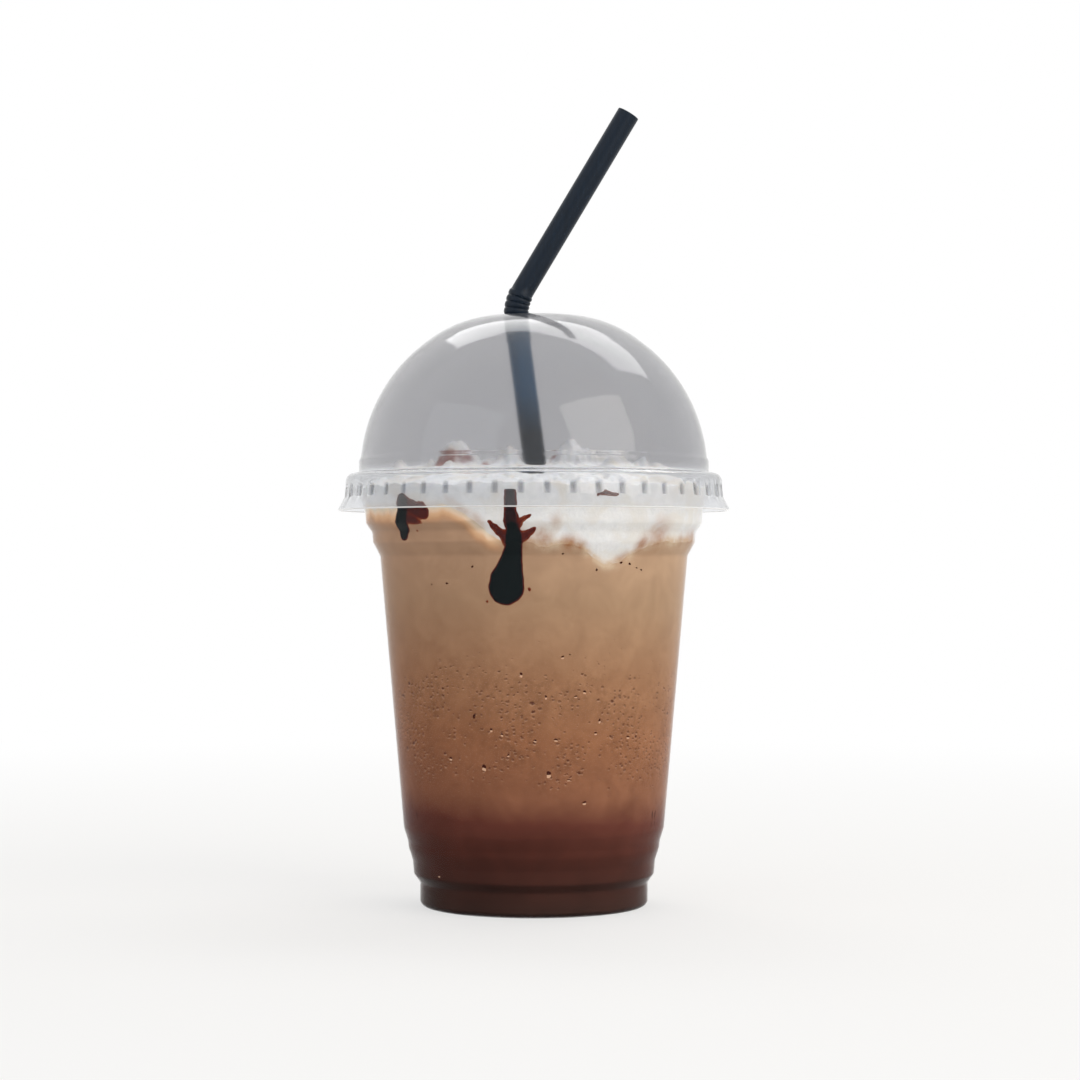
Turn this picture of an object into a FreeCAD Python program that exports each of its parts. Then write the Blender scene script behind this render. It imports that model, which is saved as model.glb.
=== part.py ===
"""Blended iced coffee in a clear takeaway cup with a domed lid, whipped cream and a flexible straw.

Millimetres, +Z up. The origin is on the cup's axis, in the plane the foot stands on. Each piece is
one solid: the cup, the dome lid, the straw, the dark chocolate layer at the bottom of the drink, the
blended coffee above it and the whipped cream on top.
"""

import FreeCAD, Part
import math
import os

Vector = FreeCAD.Vector
ORIGIN = Vector(0, 0, 0)
UP = Vector(0, 0, 1)

# Cup: thermoformed clear sheet. Radii are those of the outer face.
CUP_WALL = 0.5
CUP_HEIGHT = 113.0
RIM_RADIUS = 48.8
RIM_WIDTH = 2.9
RIM_DROP = 2.6
RIM_ROLL = 1.15
MOUTH_DEPTH = 4.0
SHOULDER_WIDTH = 5.4
SHOULDER_HEIGHT = 21.2
BODY_TAPER = 6.25
BODY_FOOT_Z = 20.6
FOOT_STEP = 4.3
FOOT_HEIGHT = 6.2
FOOT_CORNER = 1.6
FOOT_RING_WIDTH = 3.6
PANEL_RISE = 3.0
PANEL_SLOPE = 2.4
STEP_ROUND = 1.1
# Rings that step the wall out: how far each stands out of the wall below the rings, and the heights
# of its lower and upper edge, from the foot's plane or from the body's top.
FOOT_RINGS = ((1.65, 8.5, 12.0), (3.05, 15.4, 17.0))
SHOULDER_RINGS = ((1.9, 3.6, 6.2), (3.7, 8.5, 11.4))
# What follows from those sizes: each stage of the wall is narrower than the one above it.
MOUTH_RADIUS = RIM_RADIUS - RIM_WIDTH
BODY_TOP_RADIUS = MOUTH_RADIUS - SHOULDER_WIDTH
BODY_TOP_Z = CUP_HEIGHT - SHOULDER_HEIGHT
BODY_FOOT_RADIUS = BODY_TOP_RADIUS - BODY_TAPER
FOOT_RADIUS = BODY_FOOT_RADIUS - FOOT_STEP
PANEL_RADIUS = FOOT_RADIUS - FOOT_RING_WIDTH - PANEL_SLOPE

# Dome lid: thinner clear sheet, seated on the cup's rolled rim. Radii are those of the outer face.
LID_WALL = 0.4
LID_SIDE_CLEARANCE = 0.15
LID_SEAT_CLEARANCE = 0.05
DOME_RISE = 41.6
DOME_INSET = 0.35
DOME_SHOULDER_INSET = 2.45
DOME_SHOULDER_DROP = 17.85
DOME_CROWN_RADIUS = 19.0
DOME_SIDE_CURVE = 42.5
DOME_CROWN_CURVE = 32.3
HOLE_RADIUS = 8.5
BEAD_RISE = 3.35
BEAD_HEIGHT = 1.0
BEAD_STEP = 0.5
BEAD_ROUND = 0.6
SHELF_ROUND = 2.0
SKIRT_DROP = 6.3
SKIRT_SPREAD = 0.55
LIP_WIDTH = 1.75
LIP_DROP = 3.3
LIP_ROUND = 1.0
RIB_COUNT = 48
RIB_RADIUS = 0.45
RIB_INSET = 0.1
RIB_TOP_DROP = 3.5
RIB_LENGTH = 2.8
# What follows: the shelf lies over the rim, the skirt clears it, and the dome stands on the mouth.
SHELF_Z = CUP_HEIGHT + LID_SEAT_CLEARANCE + LID_WALL
SKIRT_RADIUS = RIM_RADIUS + LID_SIDE_CLEARANCE + LID_WALL
DOME_BASE_RADIUS = MOUTH_RADIUS - DOME_INSET
DOME_TOP = SHELF_Z + DOME_RISE

# Straw: thin tube with a corrugated bend. It stands on the cup's panel and leans on the hole's edge.
STRAW_RADIUS = 3.0
STRAW_WALL = 0.3
STRAW_FOOT_INSET = 9.05
STRAW_FLOOR_GAP = 0.3
STRAW_EDGE_GAP = 0.4
STRAW_BEND_RISE = 3.0
STRAW_BEND_RADIUS = 13.0
STRAW_TIP_ANGLE = math.radians(30.8)
STRAW_TIP_LENGTH = 58.9
RIDGE_PROUD = 0.3
RIDGE_ROUND = 0.4
RIDGE_PITCH = 1.45
RIDGE_COUNT = 9
RIDGE_SHIFT = -3.0

# Drink: the dark layer's level, its fall from side to side, and its low waves.
DARK_LEVEL = 24.2
DARK_FALL = 0.028
DARK_WAVES = ((-0.39, -0.26, 0.8, 12.0), (0.31, 0.22, -0.9, 14.0), (0.09, -0.52, 0.5, 9.0))
# Coffee: its depth under the rim, and the higher side that climbs the wall in an arch.
COFFEE_DEPTH = 17.5
ARCH_RISE = 8.4
ARCH_PLACE = -0.305
ARCH_SOFTNESS = 5.0
# Pockets where the cream sinks into the coffee, or the coffee stands up: x and y as shares of the
# mouth's radius, height and spread.
CREAM_POCKETS = (
    (0.44, -0.81, -7.2, 8.0),
    (0.07, -0.87, -1.0, 5.0),
    (-0.17, 0.83, -7.0, 9.0),
    (0.52, 0.65, 4.0, 10.0),
    (-0.74, 0.39, -4.0, 9.0),
    (0.13, 0.09, -3.0, 12.0),
)
# Cream: its depth under the rim at the wall, its crown, and its torn mounds: x and y as shares of the
# mouth's radius, height and spread.
CREAM_DEPTH = 3.4
CREAM_CROWN = 5.4
CREAM_MOUNDS = (
    (-0.43, -0.13, 5.6, 5.5),
    (-0.59, 0.07, 3.0, 6.0),
    (-0.77, -0.04, 3.2, 3.6),
    (-0.25, 0.13, 1.6, 3.4),
    (-0.16, -0.24, 3.2, 3.4),
    (0.21, -0.11, 5.4, 5.4),
    (0.38, 0.09, 4.0, 5.0),
    (0.52, -0.20, 2.6, 4.6),
    (0.62, 0.02, 4.4, 3.0),
    (0.74, -0.13, 2.4, 4.2),
    (-0.48, -0.57, 2.8, 5.4),
    (0.09, -0.63, 2.4, 6.0),
    (0.44, -0.59, 3.2, 5.2),
    (-0.35, 0.48, 4.6, 6.2),
    (0.09, 0.39, 3.8, 5.0),
    (0.39, 0.52, 4.2, 5.6),
    (-0.04, 0.74, 2.6, 4.6),
    (-0.70, 0.44, 2.4, 4.6),
    (-0.02, -0.04, -2.4, 4.0),
)
# Gap between the heap of cream and the mouth above the brim.
HEAP_INSET = 2.0

# Height surfaces: patches across, how far they pass the rim, and how deep the solid under them goes.
SURFACE_STEPS = 26
SURFACE_MARGIN = 4.0
SURFACE_DEPTH = 150.0

# Share of a side that the roundings at its two ends may take up between them.
ROUNDING_SHARE = 0.99
# Corners of the cup's outline that belong to its mouth's top and rolled rim.
ROLL_CORNERS = 3


def unit(a, b):
    """Direction from outline corner a to corner b."""
    length = math.hypot(b[0] - a[0], b[1] - a[1])
    return (b[0] - a[0]) / length, (b[1] - a[1]) / length


def half_angle(back, ahead):
    """Half the angle between the two sides that leave a corner."""
    return math.acos(max(-1.0, min(1.0, back[0] * ahead[0] + back[1] * ahead[1]))) / 2


def limited(outline):
    """The outline of (r, z, rounding) corners, each rounding held to what its two sides have room for."""
    sides = [unit(a, b) for a, b in zip(outline, outline[1:])]
    lengths = [math.hypot(b[0] - a[0], b[1] - a[1]) for a, b in zip(outline, outline[1:])]
    reach = [0.0] * len(outline)
    for i in range(1, len(outline) - 1):
        back = (-sides[i - 1][0], -sides[i - 1][1])
        reach[i] = outline[i][2] / math.tan(half_angle(back, sides[i]))
    held = [outline[0]]
    for i in range(1, len(outline) - 1):
        r, z, rounding = outline[i]
        for j in (i - 1, i):
            taken = reach[j] + reach[j + 1]
            room = ROUNDING_SHARE * lengths[j]
            if taken > room:
                rounding = min(rounding, outline[i][2] * room / taken)
        held.append((r, z, rounding))
    held.append(outline[-1])
    return held


def beside(outline, distance):
    """The outline moved to its left by distance: mitred at the corners, with arcs of the same centres."""
    sides = [unit(a, b) for a, b in zip(outline, outline[1:])]
    moved = []
    for i, (r, z, rounding) in enumerate(outline):
        before = sides[max(i - 1, 0)]
        after = sides[min(i, len(sides) - 1)]
        share = distance / (1 + before[0] * after[0] + before[1] * after[1])
        turn = before[0] * after[1] - before[1] * after[0]
        if rounding:
            rounding = max(0.0, rounding - math.copysign(1.0, turn) * distance)
        moved.append((r - (before[1] + after[1]) * share, z + (before[0] + after[0]) * share, rounding))
    return moved


def profile_point(r, z):
    """Point of a profile, in the XZ plane."""
    return Vector(r, 0, z)


def edges_along(outline):
    """Edges of the outline, with a true arc at each corner that has a rounding."""
    edges = []
    start = profile_point(*outline[0][:2])
    for before, corner, after in zip(outline, outline[1:], outline[2:]):
        tip = profile_point(*corner[:2])
        back = unit(corner, before)
        ahead = unit(corner, after)
        half = half_angle(back, ahead)
        if corner[2]:
            reach = corner[2] / math.tan(half)
            middle = unit((0, 0), (back[0] + ahead[0], back[1] + ahead[1]))
            depth = corner[2] / math.sin(half) - corner[2]
            first = tip + profile_point(*back) * reach
            last = tip + profile_point(*ahead) * reach
            edges.append(Part.LineSegment(start, first).toShape())
            edges.append(Part.Arc(first, tip + profile_point(*middle) * depth, last).toShape())
            start = last
        else:
            edges.append(Part.LineSegment(start, tip).toShape())
            start = tip
    edges.append(Part.LineSegment(start, profile_point(*outline[-1][:2])).toShape())
    return edges


def revolved(edges):
    """Solid of revolution, about the Z axis, of the face inside a loop of edges."""
    wire = Part.Wire(Part.__sortEdges__(edges))
    return Part.Face(wire).revolve(ORIGIN, UP, 360)


def sheet(outline, wall):
    """Revolved sheet of the given wall between the outline and its left side."""
    near = edges_along(outline)
    far = edges_along(beside(outline, wall))
    caps = []
    for i in (0, -1):
        ends = near[i].Vertexes[i].Point, far[i].Vertexes[i].Point
        caps.append(Part.LineSegment(*ends).toShape())
    return revolved(near + far + caps)


def cup_outline():
    """Outer face of the cup from the middle of its base panel, out and up to the end of its rolled rim."""
    draft = (BODY_TOP_RADIUS - BODY_FOOT_RADIUS) / (BODY_TOP_Z - BODY_FOOT_Z)
    corners = [
        (0.0, PANEL_RISE, 0.0),
        (PANEL_RADIUS, PANEL_RISE, STEP_ROUND),
        (PANEL_RADIUS + PANEL_SLOPE, 0.0, STEP_ROUND),
        (FOOT_RADIUS, 0.0, FOOT_CORNER),
        (FOOT_RADIUS, FOOT_HEIGHT, STEP_ROUND),
    ]
    for proud, low, high in FOOT_RINGS:
        corners.append((FOOT_RADIUS + proud, low, STEP_ROUND))
        corners.append((FOOT_RADIUS + proud + draft * (high - low), high, STEP_ROUND))
    corners.append((BODY_FOOT_RADIUS, BODY_FOOT_Z, STEP_ROUND))
    corners.append((BODY_TOP_RADIUS, BODY_TOP_Z, STEP_ROUND))
    for proud, low, high in SHOULDER_RINGS:
        corners.append((BODY_TOP_RADIUS + proud, BODY_TOP_Z + low, STEP_ROUND))
        corners.append((BODY_TOP_RADIUS + proud + draft * (high - low), BODY_TOP_Z + high, STEP_ROUND))
    roll_top = CUP_HEIGHT - CUP_WALL
    roll_edge = RIM_RADIUS - CUP_WALL
    corners += [
        (MOUTH_RADIUS, CUP_HEIGHT - MOUTH_DEPTH, STEP_ROUND),
        (MOUTH_RADIUS, roll_top, RIM_ROLL),
        (roll_edge, roll_top, RIM_ROLL),
        (roll_edge, CUP_HEIGHT - RIM_DROP, 0.0),
    ]
    return limited(corners)


def lid_outline():
    """Outer face of the lid from the lip of its skirt, up over the shelf and the dome to the hole."""
    bead = DOME_BASE_RADIUS + BEAD_STEP
    return limited([
        (SKIRT_RADIUS + SKIRT_SPREAD + LIP_WIDTH, SHELF_Z - SKIRT_DROP - LIP_DROP, 0.0),
        (SKIRT_RADIUS + SKIRT_SPREAD, SHELF_Z - SKIRT_DROP, LIP_ROUND),
        (SKIRT_RADIUS, SHELF_Z, SHELF_ROUND),
        (bead, SHELF_Z, BEAD_ROUND),
        (bead, SHELF_Z + BEAD_RISE, BEAD_ROUND),
        (DOME_BASE_RADIUS, SHELF_Z + BEAD_RISE + BEAD_HEIGHT, BEAD_ROUND),
        (DOME_BASE_RADIUS - DOME_SHOULDER_INSET, DOME_TOP - DOME_SHOULDER_DROP, DOME_SIDE_CURVE),
        (DOME_CROWN_RADIUS, DOME_TOP, DOME_CROWN_CURVE),
        (HOLE_RADIUS, DOME_TOP, 0.0),
    ])


def snap_ribs():
    """Small half-round ribs inside the skirt, which catch under the cup's rim."""
    slope = SKIRT_SPREAD / SKIRT_DROP
    low = SHELF_Z - RIB_TOP_DROP - RIB_LENGTH
    inner = SKIRT_RADIUS - LID_WALL - RIB_INSET
    foot = Vector(inner + slope * (RIB_TOP_DROP + RIB_LENGTH), 0, low)
    rib = Part.makeCylinder(RIB_RADIUS, RIB_LENGTH, foot, Vector(-slope, 0, 1))
    ribs = []
    for i in range(RIB_COUNT):
        turned = rib.copy()
        turned.rotate(ORIGIN, UP, 360 * (i + 0.5) / RIB_COUNT)
        ribs.append(turned)
    return ribs


def make_cup():
    """Clear cup: recessed base panel, stepped foot, tapered body, stepped shoulder and rolled rim."""
    return sheet(cup_outline(), CUP_WALL)


def make_lid():
    """Clear domed lid with a hole in its crown, a bead, a shelf, and a ribbed skirt that flares."""
    return sheet(lid_outline(), LID_WALL).fuse(snap_ribs())


class StrawPath:
    """Middle line of the straw: it leans, bends once in its corrugations, and runs straight to its tip."""

    def __init__(self):
        exit_x = STRAW_RADIUS + RIDGE_PROUD + STRAW_EDGE_GAP - HOLE_RADIUS
        floor = PANEL_RISE + CUP_WALL + STRAW_FLOOR_GAP
        foot_x = PANEL_RADIUS - STRAW_FOOT_INSET
        lean = math.atan2(foot_x - exit_x, DOME_TOP - floor)
        foot_z = floor + STRAW_RADIUS * math.sin(lean)
        self.lower = Vector(exit_x - foot_x, 0, DOME_TOP - foot_z).normalize()
        self.upper = Vector(math.sin(STRAW_TIP_ANGLE), 0, math.cos(STRAW_TIP_ANGLE))
        self.foot = Vector(foot_x, 0, foot_z)
        rise = DOME_TOP + STRAW_BEND_RISE - foot_z
        self.corner = self.foot + self.lower * (rise / self.lower.z)
        self.tip = self.corner + self.upper * STRAW_TIP_LENGTH
        self.turn = self.lower.getAngle(self.upper)
        reach = STRAW_BEND_RADIUS * math.tan(self.turn / 2)
        self.first = self.corner - self.lower * reach
        self.last = self.corner + self.upper * reach
        side = Vector(self.lower.z, 0, -self.lower.x)
        self.centre = self.first + side * STRAW_BEND_RADIUS

    def at(self, travel):
        """Place and direction at a travel along the line from the middle of the bend."""
        half = self.turn / 2 * STRAW_BEND_RADIUS
        if travel < -half:
            return self.first + self.lower * (travel + half), self.lower
        if travel > half:
            return self.last + self.upper * (travel - half), self.upper
        turned = FreeCAD.Rotation(Vector(0, 1, 0), math.degrees((travel + half) / STRAW_BEND_RADIUS))
        arm = turned.multVec(self.first - self.centre)
        return self.centre + arm, turned.multVec(self.lower)

    def wire(self):
        """The whole line as straight, arc, straight."""
        return Part.Wire([
            Part.LineSegment(self.foot, self.first).toShape(),
            Part.Arc(self.first, self.at(0.0)[0], self.last).toShape(),
            Part.LineSegment(self.last, self.tip).toShape(),
        ])

    def rod(self, radius):
        """Solid round rod along the line."""
        ring = Part.Wire(Part.makeCircle(radius, self.foot, self.lower))
        return self.wire().makePipeShell([ring], True, True)

    def well(self):
        """Straight rod that the lower run takes up in the drink."""
        length = self.foot.distanceToPoint(self.first)
        return Part.makeCylinder(STRAW_RADIUS, length, self.foot, self.lower)


def make_straw(path):
    """Thin tube along the path with round ridges through its bend, open at both ends."""
    tube = path.rod(STRAW_RADIUS)
    ridges = []
    for i in range(RIDGE_COUNT):
        travel = RIDGE_SHIFT + (i - (RIDGE_COUNT - 1) / 2) * RIDGE_PITCH
        place, direction = path.at(travel)
        major = STRAW_RADIUS + RIDGE_PROUD - RIDGE_ROUND
        ridges.append(Part.makeTorus(major, RIDGE_ROUND, place, direction))
    return tube.fuse(ridges).cut(path.rod(STRAW_RADIUS - STRAW_WALL))


def bumps(x, y, places):
    """Sum of round bumps at a place; a bump's x and y are shares of the mouth's radius."""
    total = 0.0
    for share_x, share_y, height, spread in places:
        away = (x - share_x * MOUTH_RADIUS) ** 2 + (y - share_y * MOUTH_RADIUS) ** 2
        total += height * math.exp(-away / spread ** 2)
    return total


def dark_height(x, y):
    """Top of the dark layer: nearly level, with a slight fall and low waves."""
    return DARK_LEVEL - DARK_FALL * x + bumps(x, y, DARK_WAVES)


def coffee_height(x, y):
    """Top of the coffee: an arch on one side, a lower level on the other, and the cream's pockets."""
    arch = ARCH_RISE / 2 * (1 - math.tanh((x - ARCH_PLACE * MOUTH_RADIUS) / ARCH_SOFTNESS))
    return CUP_HEIGHT - COFFEE_DEPTH + arch + bumps(x, y, CREAM_POCKETS)


def cream_height(x, y):
    """Top of the cream: a low crown with torn mounds, under the rim at the wall."""
    crown = CREAM_CROWN * (1 - (x * x + y * y) / MOUTH_RADIUS ** 2)
    return CUP_HEIGHT - CREAM_DEPTH + crown + bumps(x, y, CREAM_MOUNDS)


def under(height):
    """Solid that fills everything below a height function, out past the cup."""
    reach = RIM_RADIUS + SURFACE_MARGIN
    ticks = [reach * (2 * i / SURFACE_STEPS - 1) for i in range(SURFACE_STEPS + 1)]
    surface = Part.BSplineSurface()
    surface.interpolate([[Vector(x, y, height(x, y)) for y in ticks] for x in ticks])
    return surface.toShape().extrude(Vector(0, 0, -SURFACE_DEPTH))


def make_fill(path):
    """All that the cup can hold, wall to wall and up into the dome, without the straw's well."""
    wall = beside(cup_outline(), CUP_WALL)[:-ROLL_CORNERS]
    mouth = MOUTH_RADIUS - CUP_WALL
    brim = CUP_HEIGHT - CUP_WALL - RIM_ROLL
    heap = mouth - HEAP_INSET
    ceiling = SHELF_Z + DOME_RISE / 2
    outline = wall + [(mouth, brim, 0.0), (heap, brim, 0.0), (heap, ceiling, 0.0), (0.0, ceiling, 0.0)]
    axis = Part.LineSegment(profile_point(0, ceiling), profile_point(*wall[0][:2])).toShape()
    return revolved(edges_along(outline) + [axis]).cut(path.well())


def one_solid(shape):
    """The single solid of a shape, with the seams between faces of one surface taken out."""
    cleaned = shape.removeSplitter()
    if len(cleaned.Solids) != 1 or not cleaned.isValid():
        raise ValueError(f"expected one valid solid, found {len(cleaned.Solids)}")
    return cleaned.Solids[0]


def main():
    """Make every piece and write it to parts/."""
    path = StrawPath()
    fill = make_fill(path)
    dark = under(dark_height)
    coffee = under(coffee_height)
    pieces = {
        "cup": make_cup(),
        "dome_lid": make_lid(),
        "straw": make_straw(path),
        "chocolate_layer": fill.common(dark),
        "blended_coffee": fill.common(coffee).cut(dark),
        "whipped_cream": fill.common(under(cream_height)).cut(coffee),
    }
    os.makedirs("parts", exist_ok=True)
    for node, shape in pieces.items():
        solid = one_solid(shape)
        solid.exportStep(f"parts/{node}.step")
        print(node, round(solid.Volume), "mm3", solid.BoundBox)


main()
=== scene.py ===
"""An iced coffee in its clear cup with a domed lid: every surface and its finish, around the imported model.

Lengths are in millimetres until a mesh is made. A profile is a list of (radius, height) about the cup's axis.
"""

import logging
import math
from dataclasses import dataclass, field
from enum import Enum
from typing import Callable, Mapping, Sequence

import bpy
import numpy as np
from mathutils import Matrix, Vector


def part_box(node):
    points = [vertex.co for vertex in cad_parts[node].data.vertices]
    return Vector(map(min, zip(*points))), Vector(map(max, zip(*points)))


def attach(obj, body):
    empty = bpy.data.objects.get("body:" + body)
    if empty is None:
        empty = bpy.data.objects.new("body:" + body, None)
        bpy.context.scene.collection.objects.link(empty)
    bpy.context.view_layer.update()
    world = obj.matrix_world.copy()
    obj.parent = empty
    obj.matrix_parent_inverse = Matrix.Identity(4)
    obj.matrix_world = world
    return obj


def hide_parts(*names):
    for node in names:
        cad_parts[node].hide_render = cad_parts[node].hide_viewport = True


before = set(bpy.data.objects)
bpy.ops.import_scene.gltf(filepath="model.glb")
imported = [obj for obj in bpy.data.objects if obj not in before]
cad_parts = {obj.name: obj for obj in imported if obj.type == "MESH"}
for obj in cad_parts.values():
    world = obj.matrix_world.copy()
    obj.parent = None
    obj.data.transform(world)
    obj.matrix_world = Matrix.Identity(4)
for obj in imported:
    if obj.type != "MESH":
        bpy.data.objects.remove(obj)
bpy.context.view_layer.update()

log = logging.getLogger("iced_coffee")

MM = 0.001
FULL_TURN = 2 * math.pi
# Faces that meet at a sharper turn than this keep a crisp edge between them.
EDGE_ANGLE = math.radians(50)


# ---------------------------------------------------------------------------------------------------------
# Noise, curves and profiles
# ---------------------------------------------------------------------------------------------------------


def hashed(cells: np.ndarray, seed: int) -> np.ndarray:
    """Gives every whole-number cell its own fixed number.

    The three numbers of a cell are multiplied by large primes, added and bit-mixed.

    Args:
        cells: Whole numbers, three in each row.
        seed: Another seed gives other numbers.

    Returns:
        Numbers from 0 to 1, one for each row.
    """
    mixed = (cells * np.array([73856093, 19349663, 83492791])).sum(-1) + seed * 1000003
    mixed = ((mixed ^ (mixed >> 13)) * 1274126177) & 0x7FFFFFFF
    return ((mixed ^ (mixed >> 15)) & 0xFFFF) / 0xFFFF


def lattice_noise(points: np.ndarray, size: float, seed: int = 0) -> np.ndarray:
    """Smooth noise: random values at the corners of cubes, blended by 3t² − 2t³ within each cube.

    Args:
        points: Places, three numbers in each row.
        size: Side of a cube.
        seed: Another seed gives other noise.

    Returns:
        Numbers from −1 to 1, one for each place.
    """
    scaled = points / size + seed * 17.31
    cell = np.floor(scaled).astype(np.int64)
    part = scaled - cell
    part = part * part * (3 - 2 * part)
    total = np.zeros(points.shape[:-1])
    for corner in np.ndindex(2, 2, 2):
        weight = np.prod(np.where(corner, part, 1 - part), axis=-1)
        total += weight * hashed(cell + np.array(corner), seed)
    return 2 * total - 1


def fractal(points: np.ndarray, size: float, octaves: int, seed: int = 0) -> np.ndarray:
    """Sum of noises, each half the size and half the height of the one before."""
    return sum(lattice_noise(points, size / 2**i, seed + i) / 2**i for i in range(octaves))


def billows(points: np.ndarray, size: float, octaves: int, seed: int = 0) -> np.ndarray:
    """Round puffs between sharp creases: the sum of |noise| over octaves, from 0 up."""
    return sum(np.abs(lattice_noise(points, size / 2**i, seed + i)) / 2**i for i in range(octaves))


def smoothstep(value: np.ndarray, low: float, high: float) -> np.ndarray:
    """0 below low, 1 above high, and 3t² − 2t³ between."""
    share = np.clip((value - low) / (high - low), 0, 1)
    return share * share * (3 - 2 * share)


def bumps(x: np.ndarray, y: np.ndarray, places: Sequence[tuple[float, ...]], reach: float) -> np.ndarray:
    """Sum of round bumps, height · exp(−distance² / spread²).

    Args:
        x: Places across.
        y: Places in depth.
        places: Each bump's x and y as shares of reach, its height and its spread.
        reach: The length that the shares are of.

    Returns:
        The height that the bumps add at each place.
    """
    total = np.zeros_like(x)
    for share_x, share_y, height, spread in places:
        away = (x - share_x * reach) ** 2 + (y - share_y * reach) ** 2
        total = total + height * np.exp(-away / spread**2)
    return total


SMALLEST_ROUND = 0.12
ROUNDING_SHARE = 0.99


def beside(corners: np.ndarray, distance: float) -> np.ndarray:
    """Moves an outline to its left: each corner goes by distance · (n₁ + n₂) / (1 + n₁·n₂).

    Args:
        corners: Rows of radius, height and rounding.
        distance: How far to the left of its direction the outline moves.

    Returns:
        The corners of the moved outline, with the roundings that keep the wall even.
    """
    steps = np.diff(corners[:, :2], axis=0)
    ahead = steps / np.linalg.norm(steps, axis=1, keepdims=True)
    left = np.column_stack((-ahead[:, 1], ahead[:, 0]))
    before, after = np.vstack((left[:1], left)), np.vstack((left, left[-1:]))
    mitre = (before + after) / (1 + (before * after).sum(1, keepdims=True))
    turn = before[:, 0] * after[:, 1] - before[:, 1] * after[:, 0]
    rounding = np.maximum(corners[:, 2] - distance * np.sign(turn), SMALLEST_ROUND)
    return np.column_stack((corners[:, :2] + distance * mitre, np.where(corners[:, 2] > 0, rounding, 0)))


def rounded(corners: np.ndarray, spacing: float = 1.4, turn_step: float = math.radians(11)) -> np.ndarray:
    """Makes an outline's corners arcs, and puts points along its arcs and straight sides.

    An arc of radius q touches both sides at q / tan(inner angle / 2) from its corner. Its centre lies on the
    line that halves the corner's angle, at q / sin(inner angle / 2).

    Args:
        corners: Rows of radius, height and rounding; the first and last have none.
        spacing: Greatest distance between neighbouring points.
        turn_step: Greatest turn between neighbouring points of an arc.

    Returns:
        Rows of radius and height.
    """
    places = corners[:, :2]
    steps = np.diff(places, axis=0)
    lengths = np.linalg.norm(steps, axis=1)
    ahead = steps / lengths[:, None]
    half = np.arccos(np.clip((-ahead[:-1] * ahead[1:]).sum(1), -1, 1)) / 2
    touch = np.zeros(len(corners))
    touch[1:-1] = corners[1:-1, 2] / np.tan(half)
    share = np.minimum(1, ROUNDING_SHARE * lengths / np.maximum(touch[:-1] + touch[1:], 1e-9))
    touch[1:-1] *= np.minimum(share[:-1], share[1:])
    points = [places[:1]]
    for i in range(1, len(corners) - 1):
        radius = touch[i] * math.tan(half[i - 1])
        inward = ahead[i] - ahead[i - 1]
        centre = places[i] + inward / np.linalg.norm(inward) * radius / math.sin(half[i - 1])
        start, end = places[i] - ahead[i - 1] * touch[i] - centre, places[i] + ahead[i] * touch[i] - centre
        first = math.atan2(start[1], start[0])
        sweep = (math.atan2(end[1], end[0]) - first + math.pi) % FULL_TURN - math.pi
        count = max(2, math.ceil(abs(sweep) / turn_step), math.ceil(abs(sweep) * radius / spacing))
        angles = first + sweep * np.linspace(0, 1, count + 1)
        points.append(centre + radius * np.column_stack((np.cos(angles), np.sin(angles))))
    points.append(places[-1:])
    line = np.vstack(points)
    travel = np.concatenate(([0], np.cumsum(np.linalg.norm(np.diff(line, axis=0), axis=1))))
    extra = [np.linspace(a, b, math.ceil((b - a) / spacing), endpoint=False)[1:]
             for a, b in zip(travel, travel[1:]) if b - a > spacing]
    at = np.sort(np.concatenate([travel, *extra]))
    return np.column_stack((np.interp(at, travel, line[:, 0]), np.interp(at, travel, line[:, 1])))


# ---------------------------------------------------------------------------------------------------------
# Surfaces
# ---------------------------------------------------------------------------------------------------------


@dataclass
class Surface:
    """Points, their four-sided and three-sided faces, and named numbers at each point."""

    points: np.ndarray
    quads: np.ndarray = field(default_factory=lambda: np.zeros((0, 4), int))
    triangles: np.ndarray = field(default_factory=lambda: np.zeros((0, 3), int))
    values: dict[str, np.ndarray] = field(default_factory=dict)

    def split(self) -> np.ndarray:
        """All faces as triangles."""
        return np.vstack((self.quads[:, [0, 1, 2]], self.quads[:, [0, 2, 3]], self.triangles))

    def outward(self) -> "Surface":
        """Turns the faces of a closed surface round if they point in, which shows as a negative volume."""
        a, b, c = (self.points[self.split()[:, i]] for i in range(3))
        if np.einsum("ij,ij->i", a, np.cross(b, c)).sum() < 0:
            self.quads, self.triangles = self.quads[:, ::-1], self.triangles[:, ::-1]
        return self


def joined(parts: Sequence[Surface]) -> Surface:
    """Puts surfaces into one; a named number that a surface lacks is 0 there."""
    starts = np.cumsum([0] + [len(part.points) for part in parts])
    names = {name for part in parts for name in part.values}
    return Surface(
        np.vstack([part.points for part in parts]),
        np.vstack([part.quads + start for part, start in zip(parts, starts)]),
        np.vstack([part.triangles + start for part, start in zip(parts, starts)]),
        {name: np.concatenate([part.values.get(name, np.zeros(len(part.points))) for part in parts])
         for name in names},
    )


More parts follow.
